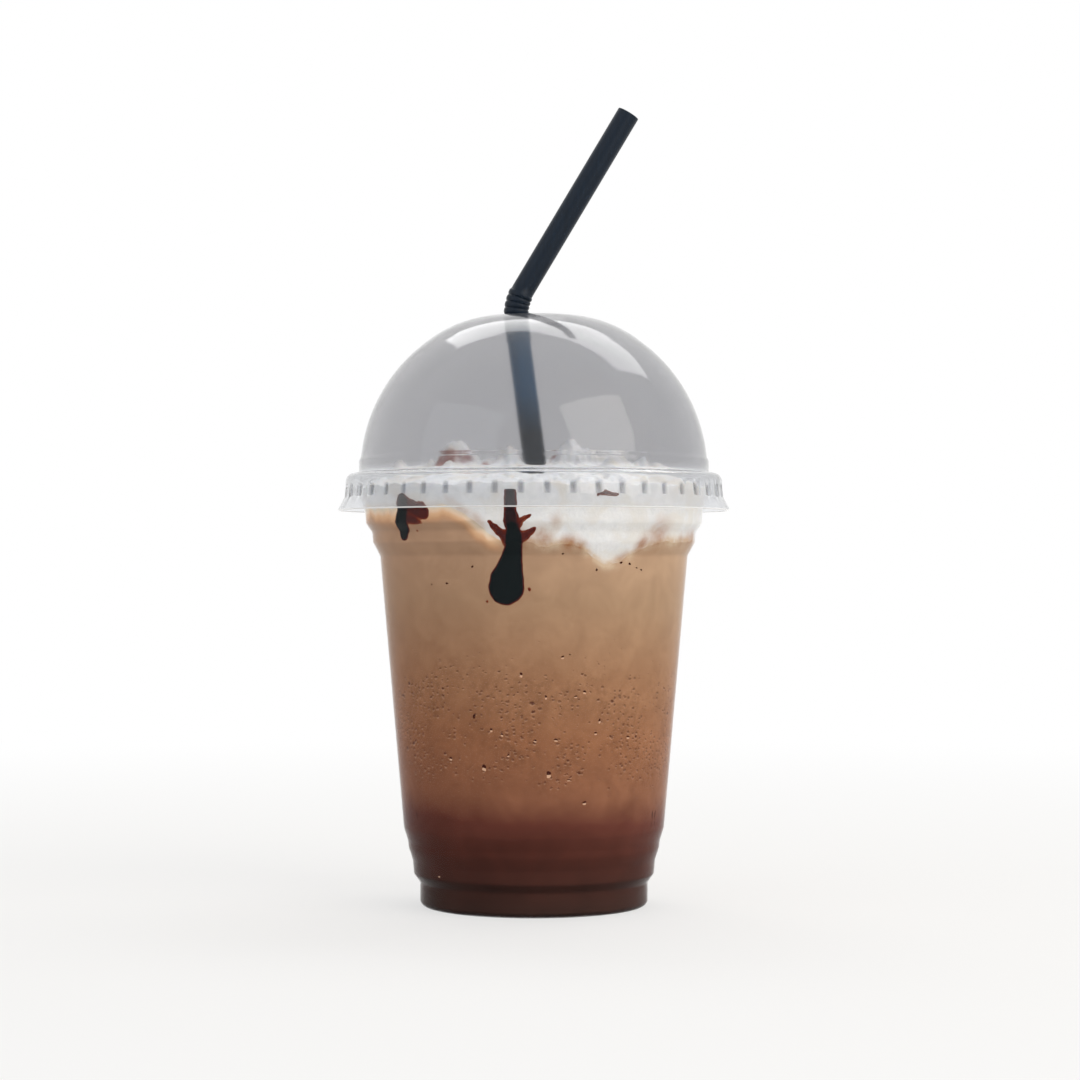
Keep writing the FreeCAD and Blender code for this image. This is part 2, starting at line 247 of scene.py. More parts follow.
def grid(points: np.ndarray, around: bool = True, closed: bool = False,
         values: Mapping[str, np.ndarray] | None = None) -> Surface:
    """Makes a surface of a grid of points.

    Args:
        points: Rows of points by columns of points, each of three numbers.
        around: Whether the last column meets the first.
        closed: Whether the last row meets the first. If not, and the surface goes around, a first or last row
            whose points are all in one place becomes a pole, with triangles about it.
        values: Named numbers, each a grid of rows by columns.

    Returns:
        The surface, with closed seams and poles.
    """
    rows, columns = points.shape[:2]
    named = {name: np.asarray(value, float) for name, value in (values or {}).items()}
    pole_low = around and not closed and np.ptp(points[0], axis=0).max() < 1e-6
    pole_high = around and not closed and np.ptp(points[-1], axis=0).max() < 1e-6
    body = slice(1 if pole_low else 0, rows - 1 if pole_high else rows)
    index = np.arange((body.stop - body.start) * columns).reshape(-1, columns)
    ends = [part for part, here in ((index[0], pole_low), (index[-1], pole_high)) if here]
    lines = np.vstack((index, index[:1])) if closed else index
    lines = np.column_stack((lines, lines[:, 0])) if around else lines
    quads = np.stack((lines[:-1, :-1], lines[:-1, 1:], lines[1:, 1:], lines[1:, :-1]), axis=-1).reshape(-1, 4)
    flat = [points[body].reshape(-1, 3)]
    extra = {name: [value[body].ravel()] for name, value in named.items()}
    triangles = [np.zeros((0, 3), int)]
    for ring, row, here in ((index[0], 0, pole_low), (index[-1], -1, pole_high)):
        if not here:
            continue
        pole = np.full(columns, sum(len(part) for part in flat))
        flat.append(points[row, :1])
        for name, value in named.items():
            extra[name].append(value[row, :1])
        fan = np.column_stack((ring, np.roll(ring, -1), pole))
        triangles.append(fan[:, ::-1] if row == 0 else fan)
    return Surface(np.vstack(flat), quads, np.vstack(triangles),
                   {name: np.concatenate(parts) for name, parts in extra.items()})


def angles_round(count: int) -> np.ndarray:
    """Angles about the axis, evenly spaced from 0."""
    return np.linspace(0, FULL_TURN, count, endpoint=False)


def turned(radius: np.ndarray, height: np.ndarray, angle: np.ndarray) -> np.ndarray:
    """Points at (r cos a, r sin a, z); the three grids are stretched to one shape."""
    radius, height, angle = np.broadcast_arrays(radius, height, angle)
    return np.stack((radius * np.cos(angle), radius * np.sin(angle), height), axis=-1)


def make_piece(name: str, surface: Surface, finish: bpy.types.Material,
               stands_for: Sequence[str] = ()) -> bpy.types.Object:
    """Makes a smooth-shaded Blender object of a surface, which rides on the root body.

    Args:
        name: Name of the object.
        surface: Its surface, in millimetres.
        finish: Its material.
        stands_for: CAD nodes that it is shown in place of.

    Returns:
        The new object.
    """
    mesh = bpy.data.meshes.new(name)
    mesh.from_pydata((surface.points * MM).tolist(), [], surface.quads.tolist() + surface.triangles.tolist())
    mesh.polygons.foreach_set("use_smooth", np.ones(len(mesh.polygons), bool))
    for label, numbers in surface.values.items():
        attribute = mesh.attributes.new(label, "FLOAT", "POINT")
        attribute.data.foreach_set("value", numbers.astype(np.float32))
    mesh.materials.append(finish)
    mesh.update()
    mesh.set_sharp_from_angle(angle=EDGE_ANGLE)
    piece = bpy.data.objects.new(name, mesh)
    bpy.context.scene.collection.objects.link(piece)
    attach(piece, "root")
    if stands_for:
        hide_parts(*stands_for)
    log.info("%s: %d triangles", name, len(surface.quads) * 2 + len(surface.triangles))
    return piece


# ---------------------------------------------------------------------------------------------------------
# Material helpers
# ---------------------------------------------------------------------------------------------------------


def linear(colour: str) -> tuple[float, float, float, float]:
    """An sRGB hex colour as linear red, green, blue and a full alpha."""
    parts = [int(colour.lstrip("#")[i:i + 2], 16) / 255 for i in (0, 2, 4)]
    return (*[p / 12.92 if p <= 0.04045 else ((p + 0.055) / 1.055) ** 2.4 for p in parts], 1.0)


def add_node(tree: bpy.types.NodeTree, kind: str, inputs: Mapping[str | int, object] | None = None,
             stops: Sequence[tuple[float, str]] = (), **settings: object) -> bpy.types.Node:
    """Adds a shader node with its settings and links.

    Args:
        tree: The node tree.
        kind: The node's type, without its ShaderNode prefix.
        inputs: For each input, by name or number, a socket to link from or a value to set.
        stops: For a colour ramp, its places from 0 to 1 and their sRGB hex colours.
        settings: Values for the node's own properties.

    Returns:
        The new node.
    """
    made = tree.nodes.new("ShaderNode" + kind)
    for name, value in settings.items():
        setattr(made, name, value)
    for name, value in (inputs or {}).items():
        if isinstance(value, bpy.types.NodeSocket):
            tree.links.new(value, made.inputs[name])
        else:
            made.inputs[name].default_value = value
    if stops:
        elements = made.color_ramp.elements
        while len(elements) < len(stops):
            elements.new(1.0)
        for element, (place, colour) in zip(elements, stops):
            element.position = place
            element.color = linear(colour)
    return made


def new_material(name: str) -> tuple[bpy.types.Material, bpy.types.NodeTree]:
    """A new material with an empty node tree."""
    material = bpy.data.materials.new(name)
    material.use_nodes = True
    material.node_tree.nodes.clear()
    return material, material.node_tree


# ---------------------------------------------------------------------------------------------------------
# Finishes
# ---------------------------------------------------------------------------------------------------------


@dataclass(frozen=True)
class ClearPET:
    """Thermoformed PET sheet: clear and glossy, with faint forming waves; a lid's dome and ribs' flanks are
    tinted greyer, as painted shade, and its ends painted white, as a painted highlight.
    """

    name: str
    tint: str = "#FFFFFF"
    roughness: float = 0.02
    ior: float = 1.57
    # For a lid: the dome's greyer tint above dome_from_mm is painted shade; the sheet is one clear PET.
    dome_shade: str = ""
    dome_from_mm: float = 114.5
    # Painted shade: the greyer tint of the ribs' flanks.
    rib_flank_shade: str = "#A9ABB1"
    wave_mm: float = 7.0
    wave_depth_mm: float = 0.05
    # How clear the lid's painted white ends stay: a painted highlight.
    edge_highlight_clearness: float = 0.2

    def material(self) -> bpy.types.Material:
        """Clear plastic for sight, and open to the light that falls on what it holds."""
        material, tree = new_material(self.name)
        tint = linear(self.tint)
        # Painted shade: the dome tinted greyer than the skirt, and the ribs' flanks greyer still.
        if self.dome_shade:
            place = add_node(tree, "TexCoord").outputs["Object"]
            height = add_node(tree, "SeparateXYZ", {0: place}).outputs["Z"]
            share = add_node(tree, "MapRange", {"Value": height, 1: (self.dome_from_mm - 1) * MM,
                                                2: (self.dome_from_mm + 1) * MM}).outputs[0]
            tint = add_node(tree, "Mix", {0: share, 6: tint, 7: linear(self.dome_shade)},
                            data_type="RGBA").outputs[2]
            flank_shade = add_node(tree, "Attribute", attribute_name="rib").outputs["Fac"]
            tint = add_node(tree, "Mix", {0: flank_shade, 6: tint, 7: linear(self.rib_flank_shade)},
                            data_type="RGBA").outputs[2]
        wave = add_node(tree, "TexNoise", {"Vector": add_node(tree, "TexCoord").outputs["Object"],
                                           "Scale": 1 / (self.wave_mm * MM), "Detail": 1.0}).outputs[0]
        bump = add_node(tree, "Bump", {"Height": wave, "Distance": self.wave_depth_mm * MM}).outputs[0]
        clearness = 1.0
        # Painted highlight: the lid's sheet ends are made white and less clear, a bright line at its edges.
        if self.dome_shade:
            cut = add_node(tree, "Attribute", attribute_name="cut").outputs["Fac"]
            clearness = add_node(tree, "MapRange", {"Value": cut, 3: 1.0, 4: self.edge_highlight_clearness}).outputs[0]
            tint = add_node(tree, "Mix", {0: cut, 6: tint, 7: linear("#FFFFFF")}, data_type="RGBA").outputs[2]
        plastic = add_node(tree, "BsdfPrincipled", {
            "Base Color": tint, "Roughness": self.roughness, "IOR": self.ior,
            "Transmission Weight": clearness, "Normal": bump,
        })
        path = add_node(tree, "LightPath")
        clear = add_node(tree, "BsdfTransparent")
        mixed = add_node(tree, "MixShader", {0: path.outputs["Is Shadow Ray"], 1: plastic.outputs[0],
                                             2: clear.outputs[0]})
        add_node(tree, "OutputMaterial", {"Surface": mixed.outputs[0]})
        return material


@dataclass(frozen=True)
class StrawPlastic:
    """Extruded polypropylene, navy-black: satin, with long soft highlights and fine draw lines.

    Between two heights, under the dome, it is painted bluer: a painted reflection of the bright dome around
    it.
    """

    colour: str = "#0E1925"
    # Painted reflection: the bluer colour of the straw under the dome.
    dome_reflection_colour: str = "#244E70"
    low_from_mm: float = 156.0
    low_to_mm: float = 124.0
    low_fade_in_mm: float = 8.0
    low_fade_out_mm: float = 12.0
    streak: str = "#142231"
    roughness: float = 0.38
    line_depth_mm: float = 0.02
    line_pitch_mm: float = 0.7

    def material(self) -> bpy.types.Material:
        """Dark satin plastic whose gloss varies slightly in bands."""
        material, tree = new_material("extruded_polypropylene")
        place = add_node(tree, "TexCoord").outputs["Object"]
        mapped = add_node(tree, "Mapping", {"Vector": place, "Scale": (1.0, 1.0, 0.06)})
        lines = add_node(tree, "TexNoise", {
            "Vector": mapped.outputs[0], "Scale": 1 / (self.line_pitch_mm * MM), "Detail": 3.0,
        })
        bump = add_node(tree, "Bump", {"Height": lines.outputs[0], "Distance": self.line_depth_mm * MM,
                                       "Strength": 0.6})
        stops = ((0.3, self.colour), (0.8, self.streak))
        streaked = add_node(tree, "ValToRGB", {0: lines.outputs[0]}, stops=stops)
        # Painted reflection: bluer between two heights under the dome.
        height = add_node(tree, "SeparateXYZ", {0: place}).outputs["Z"]
        rising = add_node(tree, "MapRange", {"Value": height, 1: self.low_from_mm * MM,
                                             2: (self.low_from_mm - self.low_fade_in_mm) * MM}).outputs[0]
        ending = add_node(tree, "MapRange", {"Value": height, 1: self.low_to_mm * MM,
                                             2: (self.low_to_mm + self.low_fade_out_mm) * MM}).outputs[0]
        share = add_node(tree, "Math", {0: rising, 1: ending}, operation="MULTIPLY").outputs[0]
        tone = add_node(tree, "Mix", {0: share, 6: streaked.outputs[0], 7: linear(self.dome_reflection_colour)},
                        data_type="RGBA")
        plastic = add_node(tree, "BsdfPrincipled", {
            "Base Color": tone.outputs[2], "Roughness": self.roughness, "IOR": 1.49,
            "Specular IOR Level": 0.2, "Normal": bump.outputs[0],
        })
        add_node(tree, "OutputMaterial", {"Surface": plastic.outputs[0]})
        return material


# Colour of the foam where coffee and cream meet.
MILKY_FOAM = "#C9B196"


def blended(tree: bpy.types.NodeTree, place: bpy.types.NodeSocket,
            colour: bpy.types.NodeSocket) -> bpy.types.NodeSocket:
    """Where coffee and cream meet, both turn to milky foam: the blend attribute, broken by a noise.

    Args:
        tree: The material's node tree.
        place: The place on the surface.
        colour: The colour away from the boundary.

    Returns:
        The colour.
    """
    near = add_node(tree, "Attribute", attribute_name="blend").outputs["Fac"]
    wisp = add_node(tree, "TexNoise", {"Vector": place, "Scale": 1 / (3.4 * MM), "Detail": 4.0,
                                       "Roughness": 0.6, "Distortion": 0.5}).outputs[0]
    broken = add_node(tree, "MapRange", {"Value": wisp, 1: 0.3, 2: 0.65, 3: 0.35, 4: 1.3}).outputs[0]
    amount = add_node(tree, "Math", {0: near, 1: broken}, operation="MULTIPLY", use_clamp=True).outputs[0]
    return add_node(tree, "Mix", {0: amount, 6: colour, 7: linear(MILKY_FOAM)}, data_type="RGBA").outputs[2]


@dataclass(frozen=True)
class PitSize:
    """One size of broken bubble: the pattern's cell, greatest radius, share of the cells, and the darkness of
    its painted shade.
    """

    cell_mm: float
    radius_mm: float
    share: float
    darkness: float


@dataclass(frozen=True)
class BlendedDrink:
    """Milky coffee blended with ice and air, pressed against the wall: matt, with pits, pebbles and mottling.

    The colour goes by height from pale foam at the top to dark sauce at the foot, and changes a little from
    the browner -X side to the milkier +X side: partly uneven blending, partly painted shade of the light from
    +X.
    """

    name: str = "blended_coffee_foam"
    # Height above the foot plane in mm, and the blend's colour there.
    layers: tuple[tuple[float, str], ...] = (
        (0.0, "#34231E"), (16.0, "#4A261E"), (24.0, "#5D3228"), (31.0, "#83563F"),
        (45.0, "#8E6044"), (60.0, "#966D50"), (80.0, "#A28266"), (100.0, "#B69579"),
    )
    top: float = 106.0
    stain: str = "#93592F"
    # pit is painted shade in the pits, and rim a painted highlight on their lower edges.
    pit: str = "#47211A"
    rim: str = "#C79C7E"
    pit_sizes: tuple[PitSize, ...] = (PitSize(4.3, 0.72, 0.72, 0.85), PitSize(1.7, 0.44, 1.0, 0.52))
    pit_highlight_drop_mm: float = 0.34
    unrolled_radius_mm: float = 38.0
    flattened: float = 1.35
    mottle_mm: float = 8.0
    pebble_mm: float = 1.5
    crowd_mm: float = 11.0
    # How dark the painted shade under the wall's steps makes the drink.
    step_shade_tone: float = 0.55
    # Across the cup the colour shifts, partly as uneven blending and partly as painted shade, darker toward
    # -X: the ends of the shift, its size at the foot and above a share of the height, and how much red, green
    # and blue take part.
    blend_and_shade_from: float = -0.75
    blend_and_shade_to: float = 0.95
    blend_and_shade_foot: float = 0.22
    blend_and_shade_above: float = 0.12
    blend_and_shade_settled: float = 0.45
    blend_and_shade_channels: tuple[float, float, float] = (1.0, 1.35, 1.45)

    def material(self) -> bpy.types.Material:
        """Colour by height, and by side partly as painted shade; foam and stain under the cream; pits of
        painted shade over painted highlights; painted shade under the wall's steps; soft mottling.
        """
        material, tree = new_material(self.name)
        place = add_node(tree, "TexCoord").outputs["Object"]
        level = add_node(tree, "Attribute", attribute_name="level").outputs["Fac"]
        mottle = add_node(tree, "TexNoise", {
            "Vector": place, "Scale": 1 / (self.mottle_mm * MM), "Detail": 4.0, "Roughness": 0.55,
            "Distortion": 0.6,
        }).outputs[0]
        colour = self.by_height_and_shaded_side(tree, place, level, mottle)
        foamed = self.foamed(tree, colour)
        crowded = self.crowded(tree, place, level)
        pebble = add_node(tree, "TexNoise", {"Vector": place, "Scale": 1 / (self.pebble_mm * MM),
                                             "Detail": 3.0, "Roughness": 0.6}).outputs[0]
        raised = add_node(tree, "MapRange", {"Value": pebble, 1: 0.3, 2: 0.7, 3: -0.20, 4: 0.14}).outputs[0]
        crowded_raised = add_node(tree, "Math", {0: raised, 1: crowded}, operation="MULTIPLY").outputs[0]
        mottle_tone = add_node(tree, "MapRange", {"Value": mottle, 1: 0.3, 2: 0.7,
                                                  3: 0.93, 4: 1.07}).outputs[0]
        tone = add_node(tree, "Math", {0: mottle_tone, 1: crowded_raised}, operation="ADD").outputs[0]
        toned = add_node(tree, "VectorMath", {0: foamed, "Scale": tone}, operation="SCALE").outputs[0]
        # Painted highlights on the pits' lower edges, and painted shade in the pits.
        pits, pit_highlights = self.pits(tree, self.unrolled(tree, place), crowded)
        pale = add_node(tree, "Mix", {0: pit_highlights, 6: toned, 7: linear(self.rim)}, data_type="RGBA").outputs[2]
        dark = add_node(tree, "Mix", {0: pits, 6: pale, 7: linear(self.pit)}, data_type="RGBA").outputs[2]
        stained = self.stained(tree, place, blended(tree, place, dark))
        # Painted shade: darker lines under the wall's steps.
        crease = add_node(tree, "Attribute", attribute_name="crease").outputs["Fac"]
        left = add_node(tree, "MapRange", {"Value": crease, 3: 1.0, 4: self.step_shade_tone}).outputs[0]
        step_shaded = add_node(tree, "VectorMath", {0: stained, "Scale": left}, operation="SCALE").outputs[0]
        hollow = add_node(tree, "Math", {0: crowded_raised, 1: pits}, operation="SUBTRACT").outputs[0]
        bump = add_node(tree, "Bump", {"Height": hollow, "Distance": 0.3 * MM, "Strength": 0.6}).outputs[0]
        drink = add_node(tree, "BsdfPrincipled", {
            "Base Color": step_shaded, "Roughness": 0.6, "IOR": 1.35, "Specular IOR Level": 0.1, "Normal": bump,
        })
        add_node(tree, "OutputMaterial", {"Surface": drink.outputs[0]})
        return material

    def by_height_and_shaded_side(self, tree: bpy.types.NodeTree, place: bpy.types.NodeSocket,
                           level: bpy.types.NodeSocket, mottle: bpy.types.NodeSocket) -> bpy.types.NodeSocket:
        """The blend's colour at a height, times 1 + amount · channels, where the amount runs from −size to
        +size: darker toward -X, partly uneven blending and partly painted shade.

        Args:
            tree: The material's node tree.
            place: The place on the surface.
            level: The height, as a share of the drink's.
            mottle: Soft noise that both changes shift by.

        Returns:
            The colour.
        """
        wobble = add_node(tree, "MapRange", {"Value": mottle, 1: 0.3, 2: 0.7, 3: -0.007, 4: 0.007}).outputs[0]
        height = add_node(tree, "Math", {0: level, 1: wobble}, operation="ADD").outputs[0]
        stops = tuple((at / self.top, colour) for at, colour in self.layers)
        middle = add_node(tree, "ValToRGB", {0: height}, stops=stops).outputs[0]
        axis = add_node(tree, "SeparateXYZ", {0: place})
        outward = add_node(tree, "CombineXYZ", {0: axis.outputs["X"], 1: axis.outputs["Y"]}).outputs[0]
        around = add_node(tree, "VectorMath", {0: outward}, operation="NORMALIZE").outputs[0]
        east = add_node(tree, "SeparateXYZ", {0: around}).outputs["X"]
        drift = add_node(tree, "MapRange", {"Value": mottle, 1: 0.3, 2: 0.7, 3: -0.16, 4: 0.16}).outputs[0]
        across = add_node(tree, "Math", {0: east, 1: drift}, operation="ADD").outputs[0]
        # Painted shade, with some uneven blending: the drink is darker and redder toward -X, away from the
        # key light.
        side = add_node(tree, "MapRange", {"Value": across, 1: self.blend_and_shade_from, 2: self.blend_and_shade_to,
                                           3: -1.0, 4: 1.0}).outputs[0]
        size = add_node(tree, "MapRange", {"Value": level, 2: self.blend_and_shade_settled, 3: self.blend_and_shade_foot,
                                           4: self.blend_and_shade_above}).outputs[0]
        blend_and_shade = add_node(tree, "Math", {0: side, 1: size}, operation="MULTIPLY").outputs[0]
        tone = add_node(tree, "VectorMath", {0: blend_and_shade, 1: self.blend_and_shade_channels, 2: (1.0, 1.0, 1.0)},
                        operation="MULTIPLY_ADD").outputs[0]
        return add_node(tree, "VectorMath", {0: middle, 1: tone}, operation="MULTIPLY").outputs[0]

    def foamed(self, tree: bpy.types.NodeTree, colour: bpy.types.NodeSocket) -> bpy.types.NodeSocket:
        """Tan foam, palest at the top, where the foam attribute is above 0.

        Args:
            tree: The material's node tree.
            colour: The colour below the foam.

        Returns:
            The colour.
        """
        foam = add_node(tree, "Attribute", attribute_name="foam").outputs["Fac"]
        tan = add_node(tree, "ValToRGB", {0: foam}, stops=(
            (0.0, "#A67C60"), (0.40, "#C39570"), (0.64, "#D9B08A"), (0.80, "#E6CBAE"),
            (1.0, "#E6DCCB"))).outputs[0]
        amount = add_node(tree, "MapRange", {"Value": foam, 1: 0.02, 2: 0.55},
                          interpolation_type="SMOOTHSTEP").outputs[0]
        return add_node(tree, "Mix", {0: amount, 6: colour, 7: tan}, data_type="RGBA").outputs[2]

    def stained(self, tree: bpy.types.NodeTree, place: bpy.types.NodeSocket,
                colour: bpy.types.NodeSocket) -> bpy.types.NodeSocket:
        """Orange-brown patches where the stain attribute and a noise say so.

        Args:
            tree: The material's node tree.
            place: The place on the surface.
            colour: The colour without a stain.

        Returns:
            The colour.
        """
        stain = add_node(tree, "Attribute", attribute_name="stain").outputs["Fac"]
        patch = add_node(tree, "TexNoise", {"Vector": place, "Scale": 1 / (2.6 * MM), "Detail": 5.0,
                                            "Roughness": 0.62}).outputs[0]
        soaked = add_node(tree, "Math", {0: stain, 1: patch}, operation="MULTIPLY").outputs[0]
        spread = add_node(tree, "MapRange", {"Value": soaked, 1: 0.06, 2: 0.85, 3: 0.0, 4: 0.85}).outputs[0]
        return add_node(tree, "Mix", {0: spread, 6: colour, 7: linear(self.stain)},
                        data_type="RGBA").outputs[2]

    def unrolled(self, tree: bpy.types.NodeTree, place: bpy.types.NodeSocket) -> bpy.types.NodeSocket:
        """The wall rolled out flat: length round from the front, and height, a little stretched.

        Its places are moved a little by a noise, so that round things come out uneven.

        Args:
            tree: The material's node tree.
            place: The place on the surface.

        Returns:
            The flat place.
        """
        axis = add_node(tree, "SeparateXYZ", {0: place})
        front = add_node(tree, "Math", {0: axis.outputs["Y"], 1: -1.0}, operation="MULTIPLY").outputs[0]
        angle = add_node(tree, "Math", {0: axis.outputs["X"], 1: front}, operation="ARCTAN2").outputs[0]
        length = add_node(tree, "Math", {0: angle, 1: self.unrolled_radius_mm * MM},
                          operation="MULTIPLY").outputs[0]
        height = add_node(tree, "Math", {0: axis.outputs["Z"], 1: self.flattened},
                          operation="MULTIPLY").outputs[0]
        flat = add_node(tree, "CombineXYZ", {0: length, 1: height}).outputs[0]
        uneven = add_node(tree, "TexNoise", {"Vector": place, "Scale": 1 / (1.1 * MM),
                                             "Detail": 1.0}).outputs[1]
        moved = add_node(tree, "VectorMath", {0: uneven, "Scale": 1.0 * MM}, operation="SCALE").outputs[0]
        return add_node(tree, "VectorMath", {0: flat, 1: moved}, operation="ADD").outputs[0]

    def crowded(self, tree: bpy.types.NodeTree, place: bpy.types.NodeSocket,
                level: bpy.types.NodeSocket) -> bpy.types.NodeSocket:
        """How thick the pits stand: most in the lower middle of the drink, and in clouds.

        Args:
            tree: The material's node tree.
            place: The place on the surface.
            level: The height, as a share of the drink's.

        Returns:
            A number from 0 to 1.
        """
        crowd = add_node(tree, "TexNoise", {"Vector": place, "Scale": 1 / (self.crowd_mm * MM),
                                            "Detail": 2.0}).outputs[0]
        clouds = add_node(tree, "MapRange", {"Value": crowd, 1: 0.34, 2: 0.54, 3: 0.36, 4: 1.0}).outputs[0]
        band = add_node(tree, "ValToRGB", {0: level}, stops=(
            (0.27, "#000000"), (0.31, "#BCBCBC"), (0.40, "#FFFFFF"), (0.55, "#F0F0F0"), (0.63, "#A0A0A0"),
            (0.74, "#606060"), (0.90, "#484848"), (0.97, "#000000"))).outputs[0]
        return add_node(tree, "Math", {0: clouds, 1: band}, operation="MULTIPLY").outputs[0]

    def pits(self, tree: bpy.types.NodeTree, flat: bpy.types.NodeSocket,
             crowded: bpy.types.NodeSocket) -> tuple[bpy.types.NodeSocket, bpy.types.NodeSocket]:
        """Painted shade in pits of broken bubbles round the middles of some cells of a flat cell pattern, and
        painted highlights on pale edges below.

        Args:
            tree: The material's node tree.
            flat: The place on the rolled-out wall.
            crowded: How thick the pits stand.

        Returns:
            How much of a pit's painted shade, and how much of a painted highlight below it, each place is.
        """
        found = {}
        for drop in (0.0, self.pit_highlight_drop_mm):
            moved = add_node(tree, "VectorMath", {0: flat, 1: (0.0, drop * MM, 0.0)},
                             operation="ADD").outputs[0]
            deepest = None
            for size in self.pit_sizes:
                cells = add_node(tree, "TexVoronoi", {"Vector": moved, "Scale": 1 / (size.cell_mm * MM)},
                                 voronoi_dimensions="2D")
                luck = add_node(tree, "SeparateColor", {0: cells.outputs["Color"]}).outputs[0]
                chance = add_node(tree, "Math", {0: crowded, 1: size.share}, operation="MULTIPLY").outputs[0]
                over = add_node(tree, "Math", {0: chance, 1: luck}, operation="SUBTRACT").outputs[0]
                reach = add_node(tree, "MapRange", {"Value": over, 1: 0.0, 2: 0.6, 3: -0.02,
                                                    4: size.radius_mm / size.cell_mm}).outputs[0]
                depth = add_node(tree, "Math", {0: reach, 1: cells.outputs["Distance"]},
                                 operation="SUBTRACT").outputs[0]
                inside = add_node(tree, "MapRange", {"Value": depth, 1: -0.03, 2: 0.09, 4: size.darkness},
                                  interpolation_type="SMOOTHSTEP").outputs[0]
                deepest = inside if deepest is None else add_node(tree, "Math", {0: deepest, 1: inside},
                                                                  operation="MAXIMUM").outputs[0]
            found[drop] = deepest
        rim = add_node(tree, "Math", {0: found[self.pit_highlight_drop_mm], 1: 0.6}, operation="MULTIPLY").outputs[0]
        return found[0.0], rim


@dataclass(frozen=True)
class SpecksAndPitShading:
    """Pits and specks against the wall: dark red-brown, which on a pit is painted shade, with a pale lower
    lip on a pit, a painted highlight.
    """

    # dark is the specks' sauce and, on a pit, painted shade; lip is a painted highlight under a pit.
    dark: str = "#3E1C14"
    lip: str = "#C9A184"

    def material(self) -> bpy.types.Material:
        """Matt colour by the lip attribute."""
        material, tree = new_material("specks_and_painted_pit_shading")
        lip = add_node(tree, "Attribute", attribute_name="lip").outputs["Fac"]
        tone = add_node(tree, "ValToRGB", {0: lip}, stops=((0.0, self.dark), (1.0, self.lip))).outputs[0]
        mark = add_node(tree, "BsdfPrincipled", {"Base Color": tone, "Roughness": 0.7, "IOR": 1.4,
                                                 "Specular IOR Level": 0.1})
        add_node(tree, "OutputMaterial", {"Surface": mark.outputs[0]})
        return material


@dataclass(frozen=True)
class WhippedCream:
    """Dairy cream with sauce on it: soft, slightly blue white, stained orange-brown and red-brown."""

    colour: str = "#FAFBFD"
    shade: str = "#DEE1E5"
    warm: str = "#E6E0D6"
    # Painted shade: the cream turns greyer between these heights, low down by the wall.
    low_shade: str = "#CFCDC9"
    low_shade_from_mm: float = 114.0
    low_shade_to_mm: float = 103.0
    sauce: str = "#8C3A2A"
    stain: str = "#9A6438"

    def material(self) -> bpy.types.Material:
        """White with a little light let in, greyer low by the wall as painted shade, and sauce where the
        sauce attribute and a noise say so.
        """
        material, tree = new_material("whipped_dairy_cream")
        place = add_node(tree, "TexCoord").outputs["Object"]
        patch = add_node(tree, "TexNoise", {"Vector": place, "Scale": 1 / (2.6 * MM), "Detail": 6.0,
                                            "Roughness": 0.65, "Distortion": 0.4}).outputs[0]
        cloud = add_node(tree, "TexNoise", {"Vector": place, "Scale": 1 / (9 * MM), "Detail": 3.0,
                                            "Roughness": 0.6, "Distortion": 0.8}).outputs[0]
        tone = add_node(tree, "ValToRGB", {0: patch},
                        stops=((0.3, self.shade), (0.62, self.colour))).outputs[0]
        warmth = add_node(tree, "MapRange", {"Value": cloud, 1: 0.42, 2: 0.68, 3: 0.0, 4: 0.9},
                          interpolation_type="SMOOTHSTEP").outputs[0]
        warmed = add_node(tree, "Mix", {0: warmth, 6: tone, 7: linear(self.warm)},
                          data_type="RGBA").outputs[2]
        # Painted shade: greyer toward the bottom, low by the wall.
        height = add_node(tree, "SeparateXYZ", {0: place}).outputs["Z"]
        low = add_node(tree, "MapRange", {"Value": height, 1: self.low_shade_from_mm * MM, 2: self.low_shade_to_mm * MM,
                                          3: 0.0, 4: 0.6}).outputs[0]
        low_shade = add_node(tree, "Mix", {0: low, 6: warmed, 7: linear(self.low_shade)},
                           data_type="RGBA").outputs[2]
        painted = blended(tree, place, low_shade)
        stains = (("stain", self.stain, 0.06, 0.95), ("sauce", self.sauce, 0.20, 0.40))
        for label, colour, low, high in stains:
            amount = add_node(tree, "Attribute", attribute_name=label).outputs["Fac"]
            soaked = add_node(tree, "Math", {0: amount, 1: patch}, operation="MULTIPLY").outputs[0]
            spread = add_node(tree, "MapRange", {"Value": soaked, 1: low, 2: high, 3: 0.0,
                                                 4: 0.85}).outputs[0]
            painted = add_node(tree, "Mix", {0: spread, 6: painted, 7: linear(colour)},
                               data_type="RGBA").outputs[2]
        fine = add_node(tree, "TexNoise", {"Vector": place, "Scale": 1 / (0.8 * MM),
                                           "Detail": 4.0}).outputs[0]
        bump = add_node(tree, "Bump", {"Height": fine, "Distance": 0.14 * MM, "Strength": 0.6}).outputs[0]
        cream = add_node(tree, "BsdfPrincipled", {
            "Base Color": painted, "Roughness": 0.45, "IOR": 1.45, "Specular IOR Level": 0.35,
            "Subsurface Weight": 0.25, "Subsurface Radius": (1.0, 0.8, 0.6), "Subsurface Scale": 1.2 * MM,
            "Normal": bump,
        })
        add_node(tree, "OutputMaterial", {"Surface": cream.outputs[0]})
        return material


